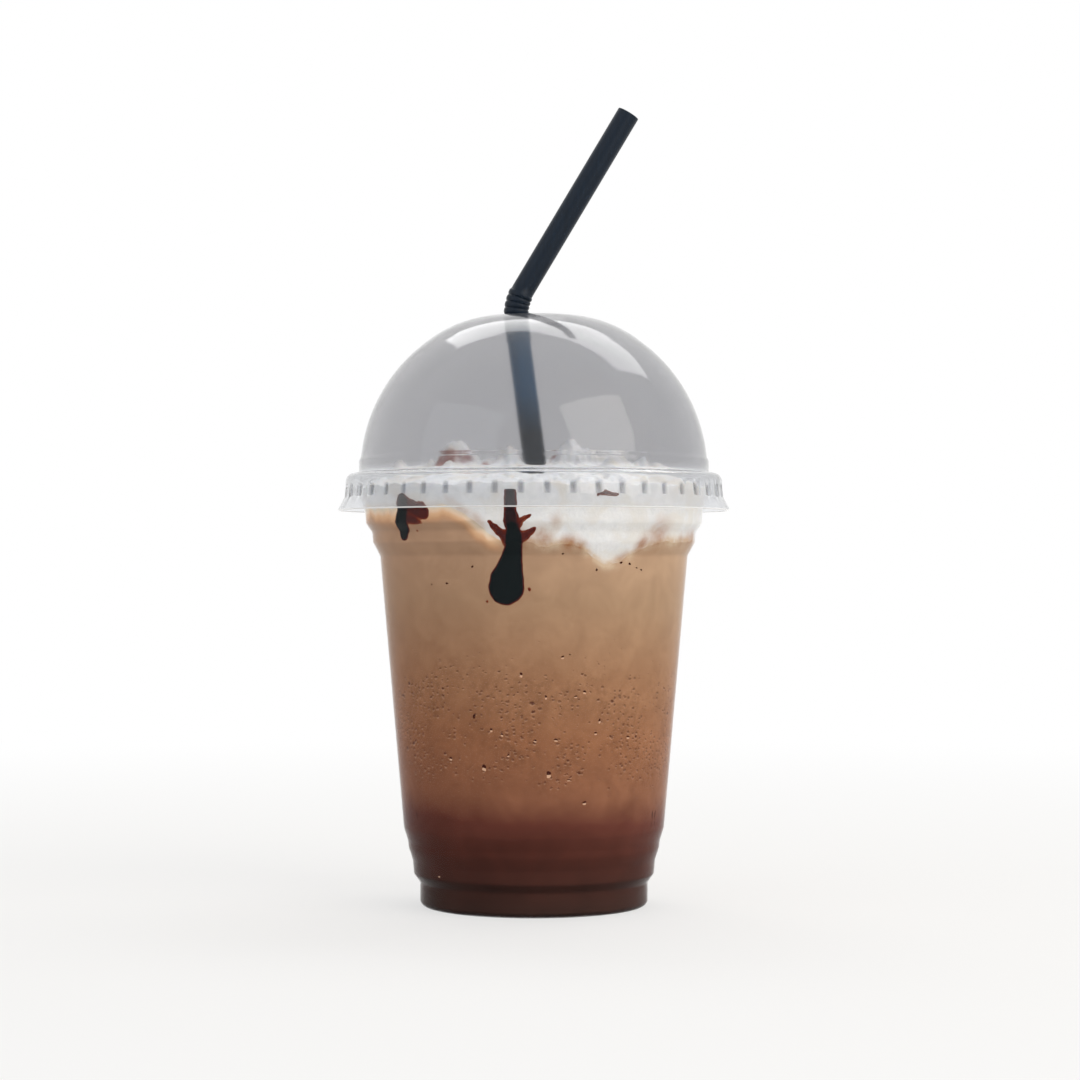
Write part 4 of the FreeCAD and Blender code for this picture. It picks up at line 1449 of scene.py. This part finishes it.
@dataclass
class WallSauce:
    """Chocolate sauce that ran down inside the wall, squeezed flat between the wall and the drink."""

    cup: Cup
    into_wall: float = 0.1
    spacing: float = 0.3
    margin: float = 0.8
    top_gap: float = 4.6
    proud: float = 0.22
    buried: float = 0.30
    slope: float = 0.45
    ragged: float = 0.42
    ragged_size: float = 1.5
    # A stroke's edge is the more ragged the thinner it lies: this, less its film's share.
    ragged_thin: float = 1.3
    # How far the film's back lies behind its sunk edge.
    backing: float = 0.1
    runs: tuple[Run, ...] = (
        # The long drip with its bulb, its red-brown wings, a wisp and two drops.
        Run(0.0, (
            Stroke(Film.HALF, ((-5.8, 111.0, 1.3), (-6.0, 106.0, 1.6), (-5.9, 102.5, 1.7),
                               (-5.4, 99.5, 2.0))),
            Stroke(Film.DEEP, ((-5.4, 99.0, 1.6), (-5.1, 96.6, 2.4), (-5.0, 93.8, 2.2), (-5.9, 89.5, 3.2),
                               (-6.8, 85.8, 4.3), (-7.0, 83.9, 4.6))),
            Stroke(Film.THIN, ((-6.4, 96.2, 2.1), (-8.4, 97.6, 1.1), (-11.2, 100.2, 0.25))),
            Stroke(Film.THIN, ((-4.2, 96.0, 2.2), (-2.2, 96.8, 1.2), (0.3, 98.6, 0.25))),
            Stroke(Film.THIN, ((-4.6, 99.6, 1.3), (-2.8, 100.6, 0.6), (-0.8, 101.8, 0.2))),
            Stroke(Film.HALF, ((-11.9, 80.3, 0.55), (-11.8, 80.4, 0.5))),
            Stroke(Film.THIN, ((-1.0, 83.2, 0.4), (-1.05, 83.0, 0.3))),
            Stroke(Film.THIN, ((-3.0, 108.6, 0.6), (-1.2, 109.6, 0.3))),
        )),
        # The short drip to its left, with two red-brown lobes.
        Run(-47.0, (
            Stroke(Film.HALF, ((-0.6, 105.0, 2.4), (-1.8, 101.8, 2.3))),
            Stroke(Film.DEEP, ((-2.0, 101.8, 2.3), (-2.8, 99.4, 2.5), (-3.3, 97.4, 1.8))),
            Stroke(Film.THIN, ((-1.0, 104.6, 2.4), (2.5, 103.8, 2.3), (5.6, 103.0, 2.2))),
            Stroke(Film.THIN, ((0.6, 101.4, 1.7), (3.0, 101.0, 1.3), (4.8, 100.2, 0.5))),
            Stroke(Film.HALF, ((2.2, 98.1, 0.4), (2.3, 98.0, 0.3))),
        )),
        # A speck of sauce on the cream, with a short stem above it.
        Run(24.0, (
            Stroke(Film.HALF, ((-2.6, 106.6, 0.35), (-0.6, 107.2, 0.8), (1.8, 106.9, 0.55),
                               (2.8, 106.8, 0.3))),
            Stroke(Film.THIN, ((-0.6, 107.4, 0.4), (-0.7, 109.6, 0.25))),
        )),
        # Runs on the sides and the back.
        Run(98.0, (
            Stroke(Film.HALF, ((0.4, 111.0, 1.2), (0.2, 105.0, 1.5), (0.0, 100.0, 1.7))),
            Stroke(Film.DEEP, ((0.0, 100.4, 1.5), (0.5, 95.0, 1.8), (0.2, 90.5, 2.6), (0.0, 88.6, 2.9))),
            Stroke(Film.THIN, ((1.0, 98.0, 1.4), (4.0, 99.6, 0.7), (6.4, 101.4, 0.3))),
        )),
        Run(158.0, (
            Stroke(Film.HALF, ((-0.6, 110.4, 1.6), (0.0, 103.0, 1.4), (0.3, 97.5, 1.8), (0.2, 95.8, 1.9))),
            Stroke(Film.THIN, ((-1.0, 106.0, 1.3), (-4.6, 104.6, 1.2), (-5.6, 101.2, 0.7))),
            Stroke(Film.THIN, ((5.2, 92.0, 0.5), (5.3, 91.8, 0.4))),
        )),
        Run(232.0, (
            Stroke(Film.HALF, ((0.0, 109.5, 1.1), (0.3, 104.0, 1.2), (0.4, 98.0, 1.4))),
            Stroke(Film.DEEP, ((0.4, 98.4, 1.2), (0.0, 91.0, 1.6), (-0.4, 82.0, 2.2), (-0.5, 79.6, 2.5))),
            Stroke(Film.THIN, ((-1.0, 101.0, 1.2), (-3.6, 102.6, 0.6))),
        )),
    )

    def build(self, finish: bpy.types.Material) -> bpy.types.Object:
        """All the runs as one piece."""
        patches = joined([self.patch(run) for run in self.runs])
        return make_piece("sauce_runs", patches, finish)

    def covered(self, across: np.ndarray, height: np.ndarray, stroke: Stroke) -> np.ndarray:
        """How far inside a stroke each place lies: radius along it less the distance to it, over its pieces.

        Args:
            across: Ways across, in mm.
            height: Heights, in mm.
            stroke: The stroke.

        Returns:
            Distances in mm, negative outside.
        """
        best = np.full(across.shape, FAR_OUTSIDE)
        for (x0, z0, r0), (x1, z1, r1) in zip(stroke.places, stroke.places[1:]):
            length = (x1 - x0) ** 2 + (z1 - z0) ** 2
            share = np.clip(((across - x0) * (x1 - x0) + (height - z0) * (z1 - z0)) / length, 0, 1)
            away = np.hypot(across - x0 - share * (x1 - x0), height - z0 - share * (z1 - z0))
            best = np.maximum(best, r0 + share * (r1 - r0) - away)
        return best

    def patch(self, run: Run) -> Surface:
        """A film over the box round a run: proud of the drink inside its strokes, and sunk in it outside.

        The film's face lies at the drink's face plus slope · (way inside the strokes, with a ragged noise),
        kept between −buried and +proud, so the drink's own surface draws the sauce's edge.

        Args:
            run: The run's strokes.

        Returns:
            The closed film, with its thickness at each point.
        """
        every = np.array([place for stroke in run.strokes for place in stroke.places])
        low = (every[:, :2] - every[:, 2:]).min(0) - self.margin
        high = (every[:, :2] + every[:, 2:]).max(0) + self.margin
        high[1] = min(high[1], self.cup.height - self.top_gap)
        columns, rows = (np.ceil((high - low) / self.spacing)).astype(int)
        across, height = np.meshgrid(np.linspace(low[0], high[0], columns),
                                     np.linspace(low[1], high[1], rows))
        flat = np.stack((across, height, np.full_like(across, run.degrees)), axis=-1)
        rough = self.ragged * fractal(flat, self.ragged_size, 2, seed=81)
        inside = np.full(across.shape, FAR_OUTSIDE)
        thickness = np.zeros(across.shape)
        for stroke in run.strokes:
            here = self.covered(across, height, stroke) + rough * (self.ragged_thin - stroke.film.value)
            inside = np.maximum(inside, here)
            thickness = np.maximum(thickness, stroke.film.value * smoothstep(here, -0.2, 0.9))
        base = self.cup.inside_radius(height, self.into_wall)
        angle = math.radians(run.degrees - 90) + across / base
        edge = np.ones(across.shape, bool)
        edge[1:-1, 1:-1] = False
        rise = np.where(edge, -self.buried, np.clip(self.slope * inside, -self.buried, self.proud))
        faces = (turned(base + rise, height, angle), turned(base - self.buried - self.backing, height, angle))
        front = grid(faces[0], around=False, values={"thickness": thickness})
        back = grid(faces[1], around=False, values={"thickness": thickness})
        return self.closed(front, back, rows, columns)

    def closed(self, front: Surface, back: Surface, rows: int, columns: int) -> Surface:
        """Joins two grids of the same shape along their four edges.

        Args:
            front: The outer grid.
            back: The inner grid.
            rows: Rows of each grid.
            columns: Columns of each grid.

        Returns:
            The closed surface.
        """
        both = joined((front, Surface(back.points, back.quads[:, ::-1], values=back.values)))
        index = np.arange(rows * columns).reshape(rows, columns)
        loop = np.concatenate((index[0, :-1], index[:-1, -1], index[-1, :0:-1], index[:0:-1, 0]))
        ahead = np.roll(loop, -1)
        behind = rows * columns
        both.quads = np.vstack((both.quads, np.column_stack((ahead, loop, loop + behind, ahead + behind))))
        return both.outward()


class MarkKind(Enum):
    """What a small mark against the wall is."""

    PIT = "pit"
    SPECK = "speck"


@dataclass(frozen=True)
class Mark:
    """A small mark: its way across from the middle of a side, its height above the foot, and its size."""

    kind: MarkKind
    across: float
    height: float
    width: float
    tall: float


@dataclass
class WallMarks:
    """Large pits in the foam, each a lens of painted shade over a pale lip of painted highlight, and specks
    of sauce under the cream, on three sides.
    """

    cup: Cup
    into_wall: float = 0.1
    proud: float = 0.05
    sunk: float = 0.05
    # A pit's pale lip is a painted highlight under it: how far below, how much larger and how much thinner it
    # lies.
    lip_drop: float = 0.55
    highlight_grown: float = 0.15
    highlight_thin: float = 0.5
    backing: float = 0.1
    # How much two waves round a lens stretch it.
    two_waves: float = 0.18
    three_waves: float = 0.10
    rings: int = 5
    around: int = 18
    sides: tuple[tuple[float, float], ...] = ((0.0, 1.0), (128.0, -1.0), (236.0, 1.0))
    marks: tuple[Mark, ...] = (
        Mark(MarkKind.PIT, 7.2, 66.5, 1.1, 0.7), Mark(MarkKind.SPECK, 9.0, 67.0, 0.6, 0.5),
        Mark(MarkKind.PIT, -3.2, 62.2, 1.1, 1.0), Mark(MarkKind.PIT, 3.0, 56.5, 1.0, 0.8),
        Mark(MarkKind.PIT, 12.7, 57.7, 1.1, 0.8), Mark(MarkKind.PIT, 10.5, 56.5, 1.2, 0.5),
        Mark(MarkKind.SPECK, -15.0, 51.4, 0.9, 1.9), Mark(MarkKind.PIT, -10.7, 48.2, 0.8, 0.9),
        Mark(MarkKind.PIT, 16.5, 50.4, 0.8, 1.0), Mark(MarkKind.PIT, 15.5, 47.2, 0.9, 0.7),
        Mark(MarkKind.PIT, 5.5, 45.7, 1.2, 0.7), Mark(MarkKind.PIT, 0.3, 45.5, 1.2, 0.6),
        Mark(MarkKind.PIT, -8.0, 47.0, 0.9, 0.7), Mark(MarkKind.PIT, -12.5, 38.8, 1.4, 1.4),
        Mark(MarkKind.PIT, 3.7, 37.2, 1.9, 1.3), Mark(MarkKind.PIT, 8.7, 35.5, 1.1, 0.5),
        Mark(MarkKind.PIT, 23.8, 45.9, 1.0, 0.7), Mark(MarkKind.PIT, 12.7, 29.7, 1.3, 0.8),
        Mark(MarkKind.PIT, -21.0, 40.6, 0.9, 0.8), Mark(MarkKind.PIT, -6.4, 41.8, 1.0, 0.6),
        Mark(MarkKind.SPECK, 15.7, 88.2, 0.9, 0.8), Mark(MarkKind.SPECK, 21.9, 90.0, 1.0, 0.8),
        Mark(MarkKind.SPECK, 24.1, 89.7, 0.8, 1.0), Mark(MarkKind.SPECK, 25.9, 88.7, 0.7, 0.5),
        Mark(MarkKind.SPECK, 27.1, 88.2, 0.8, 0.6), Mark(MarkKind.SPECK, 7.2, 92.2, 0.9, 0.7),
        Mark(MarkKind.SPECK, -15.4, 89.0, 0.9, 0.8), Mark(MarkKind.SPECK, -21.9, 84.8, 0.9, 0.8),
        Mark(MarkKind.SPECK, -25.8, 84.5, 0.6, 0.5), Mark(MarkKind.SPECK, 30.4, 25.0, 0.4, 3.2),
        Mark(MarkKind.SPECK, 31.0, 22.6, 0.2, 1.8), Mark(MarkKind.PIT, -24.2, 9.8, 0.8, 0.5),
    )

    def build(self, finish: bpy.types.Material) -> bpy.types.Object:
        """All the marks as one piece."""
        found = []
        for degrees, way in self.sides:
            for mark in self.marks:
                # A pit: a dark lens of painted shade over a pale lens of painted highlight; a speck: sauce.
                if mark.kind is MarkKind.PIT:
                    found.append(self.lens(mark, degrees, way, self.lip_drop * mark.tall, 1.0))
                found.append(self.lens(mark, degrees, way, 0.0, 0.0))
        return make_piece("wall_marks", joined(found), finish)

    def lens(self, mark: Mark, degrees: float, way: float, drop: float, lip: float) -> Surface:
        """An uneven flat lens: it is stretched by 1 + two · cos(2a + m) + three · cos(3a + 2m).

        Args:
            mark: The mark.
            degrees: Middle of its side of the cup, from the front.
            way: 1, or −1 to turn the side's marks round.
            drop: How far below the mark's own place the lens lies.
            lip: 1 for the pale lip, a painted highlight; 0 for the dark of the mark, which on a pit is
                painted shade.

        Returns:
            The closed lens.
        """
        turn = angles_round(self.around)[None, :]
        share = np.concatenate((np.linspace(0, 1, self.rings), np.linspace(1, 0, self.rings)[1:]))[:, None]
        outer = (np.arange(len(share)) < self.rings)[:, None]
        own = mark.across + mark.height
        uneven = 1 + self.two_waves * np.cos(2 * turn + own) + self.three_waves * np.cos(3 * turn + 2 * own)
        grown = 1 + self.highlight_grown * lip
        across = way * mark.across + share * np.cos(turn) * uneven * mark.width / 2 * grown
        height = mark.height - drop + share * np.sin(turn) * uneven * mark.tall / 2 * grown
        thick = self.proud * (1 - self.highlight_thin * lip)
        dome = 1 - share**2
        rise = np.where(outer, thick * dome - self.sunk * share**2, -self.sunk - self.backing * dome)
        base = self.cup.inside_radius(height, self.into_wall)
        angle = math.radians(degrees - 90) + np.arcsin(np.clip(across / base, -1, 1))
        points = turned(base + rise, height, angle)
        return grid(points, values={"lip": np.full(points.shape[:-1], lip)}).outward()


# ---------------------------------------------------------------------------------------------------------
# Studio
# ---------------------------------------------------------------------------------------------------------


@dataclass
class Studio:
    """Pale floor, white surroundings, three soft lamps and the camera."""

    camera_distance: float = 712.4
    camera_height: float = 89.45
    aim: tuple[float, float, float] = (1.6, 0.0, 96.0)
    lens: float = 90.0
    sensor: float = 36.0
    ambient: float = 0.50
    floor_size: float = 6.0

    def build(self) -> None:
        """Sets everything up."""
        self.world()
        self.floor()
        self.lamp("key_light", (0.60, -0.55, 0.50), (0.70, 0.70), 3.5, "#FFFAF3")
        self.lamp("fill_light", (-0.70, -0.55, 0.35), (0.90, 0.90), 1.5, "#F3F7FF")
        self.lamp("overhead_light", (0.12, 0.42, 0.83), (1.10, 0.36), 3.9, "#FFFFFF")
        self.camera()

    def shown(self, tree: bpy.types.NodeTree) -> bpy.types.NodeSocket:
        """1 where the background is seen: straight, mirrored or through clear plastic; 0 as a light."""
        path = add_node(tree, "LightPath")
        straight = add_node(tree, "Math", {
            0: path.outputs["Is Camera Ray"], 1: path.outputs["Is Glossy Ray"],
        }, operation="MAXIMUM").outputs[0]
        return add_node(tree, "Math", {0: straight, 1: path.outputs["Is Transmission Ray"]},
                        operation="MAXIMUM").outputs[0]

    def world(self) -> None:
        """White where it is seen, straight, mirrored or through plastic, and softer as a light."""
        world = bpy.data.worlds.new("studio")
        bpy.context.scene.world = world
        world.use_nodes = True
        tree = world.node_tree
        tree.nodes.clear()
        soft = add_node(tree, "Background", {0: linear("#FFFFFF"), 1: self.ambient})
        white = add_node(tree, "Background", {0: linear("#FFFFFF"), 1: 1.0})
        mixed = add_node(tree, "MixShader", {0: self.shown(tree), 1: soft.outputs[0], 2: white.outputs[0]})
        add_node(tree, "OutputWorld", {"Surface": mixed.outputs[0]})

    def floor(self) -> None:
        """A pale matt floor that keeps the shadow near the cup and turns white further off."""
        material, tree = new_material("matt_white_floor")
        place = add_node(tree, "TexCoord").outputs["Object"]
        away = add_node(tree, "VectorMath", {0: place}, operation="LENGTH").outputs["Value"]
        far = add_node(tree, "MapRange", {"Value": away, 1: 0.05, 2: 0.7, 3: 0.62, 4: 1.0},
                       interpolation_type="SMOOTHSTEP").outputs[0]
        share = add_node(tree, "Math", {0: self.shown(tree), 1: far}, operation="MULTIPLY").outputs[0]
        matt = add_node(tree, "BsdfDiffuse", {"Color": linear("#E6E4E0")})
        white = add_node(tree, "Emission", {"Color": linear("#FFFFFF"), "Strength": 1.0})
        mixed = add_node(tree, "MixShader", {0: share, 1: matt.outputs[0], 2: white.outputs[0]})
        add_node(tree, "OutputMaterial", {"Surface": mixed.outputs[0]})
        half = self.floor_size / 2
        corners = [(-half, -half, 0), (half, -half, 0), (half, half, 0), (-half, half, 0)]
        mesh = bpy.data.meshes.new("floor")
        mesh.from_pydata(corners, [], [(0, 1, 2, 3)])
        mesh.materials.append(material)
        floor = bpy.data.objects.new("floor", mesh)
        bpy.context.scene.collection.objects.link(floor)

    def lamp(self, name: str, place: tuple[float, float, float], size: tuple[float, float], power: float,
             colour: str) -> None:
        """A soft oblong lamp that faces the drink; gloss mirrors it, and clear plastic shows the background.

        Args:
            name: Its name.
            place: Its middle, in metres.
            size: Its two sides, in metres.
            power: Its power in watts.
            colour: Its colour.
        """
        light = bpy.data.lights.new(name, "AREA")
        light.shape = "RECTANGLE"
        light.size, light.size_y = size
        light.energy = power
        light.color = linear(colour)[:3]
        lamp = bpy.data.objects.new(name, light)
        lamp.location = place
        lamp.rotation_euler = (Vector((0, 0, 0.1)) - Vector(place)).to_track_quat("-Z", "Y").to_euler()
        lamp.visible_transmission = False
        bpy.context.scene.collection.objects.link(lamp)

    def camera(self) -> None:
        """A long lens at the height of the cup's shoulder."""
        data = bpy.data.cameras.new("camera")
        data.lens = self.lens
        data.sensor_width = self.sensor
        camera = bpy.data.objects.new("camera", data)
        camera.location = Vector((0, -self.camera_distance, self.camera_height)) * MM
        camera.rotation_euler = (Vector(self.aim) * MM - camera.location).to_track_quat("-Z", "Y").to_euler()
        bpy.context.scene.collection.objects.link(camera)
        bpy.context.scene.camera = camera


# ---------------------------------------------------------------------------------------------------------


def main() -> None:
    """Builds the drink and its studio."""
    logging.basicConfig(level=logging.INFO, format="%(name)s %(message)s")
    bpy.context.scene.view_settings.view_transform = "Standard"
    bpy.context.scene.cycles.transparent_max_bounces = 16
    cup_low, cup_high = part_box("cup")
    lid_low, lid_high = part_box("dome_lid")
    cup = Cup(height=cup_high.z / MM, rim_radius=round(cup_high.x / MM, 1))
    lid = DomeLid(cup, top=lid_high.z / MM, lip_radius=lid_high.x / MM)
    cup.build(ClearPET("thermoformed_pet_cup", ior=1.09))
    lid.build(ClearPET("thermoformed_pet_lid", tint="#EDEEF0", roughness=0.09, ior=1.45, dome_shade="#C9C9CB"))
    Straw(cup, lid).build(StrawPlastic())
    layers = Layers(cup)
    filling = Filling(cup, layers)
    filling.build(BlendedDrink().material())
    CreamHeap(filling).build(WhippedCream().material())
    WallSauce(cup).build(ChocolateSauce().material())
    WallMarks(cup).build(SpecksAndPitShading().material())
    Studio().build()


if __name__ == "__main__":
    main()
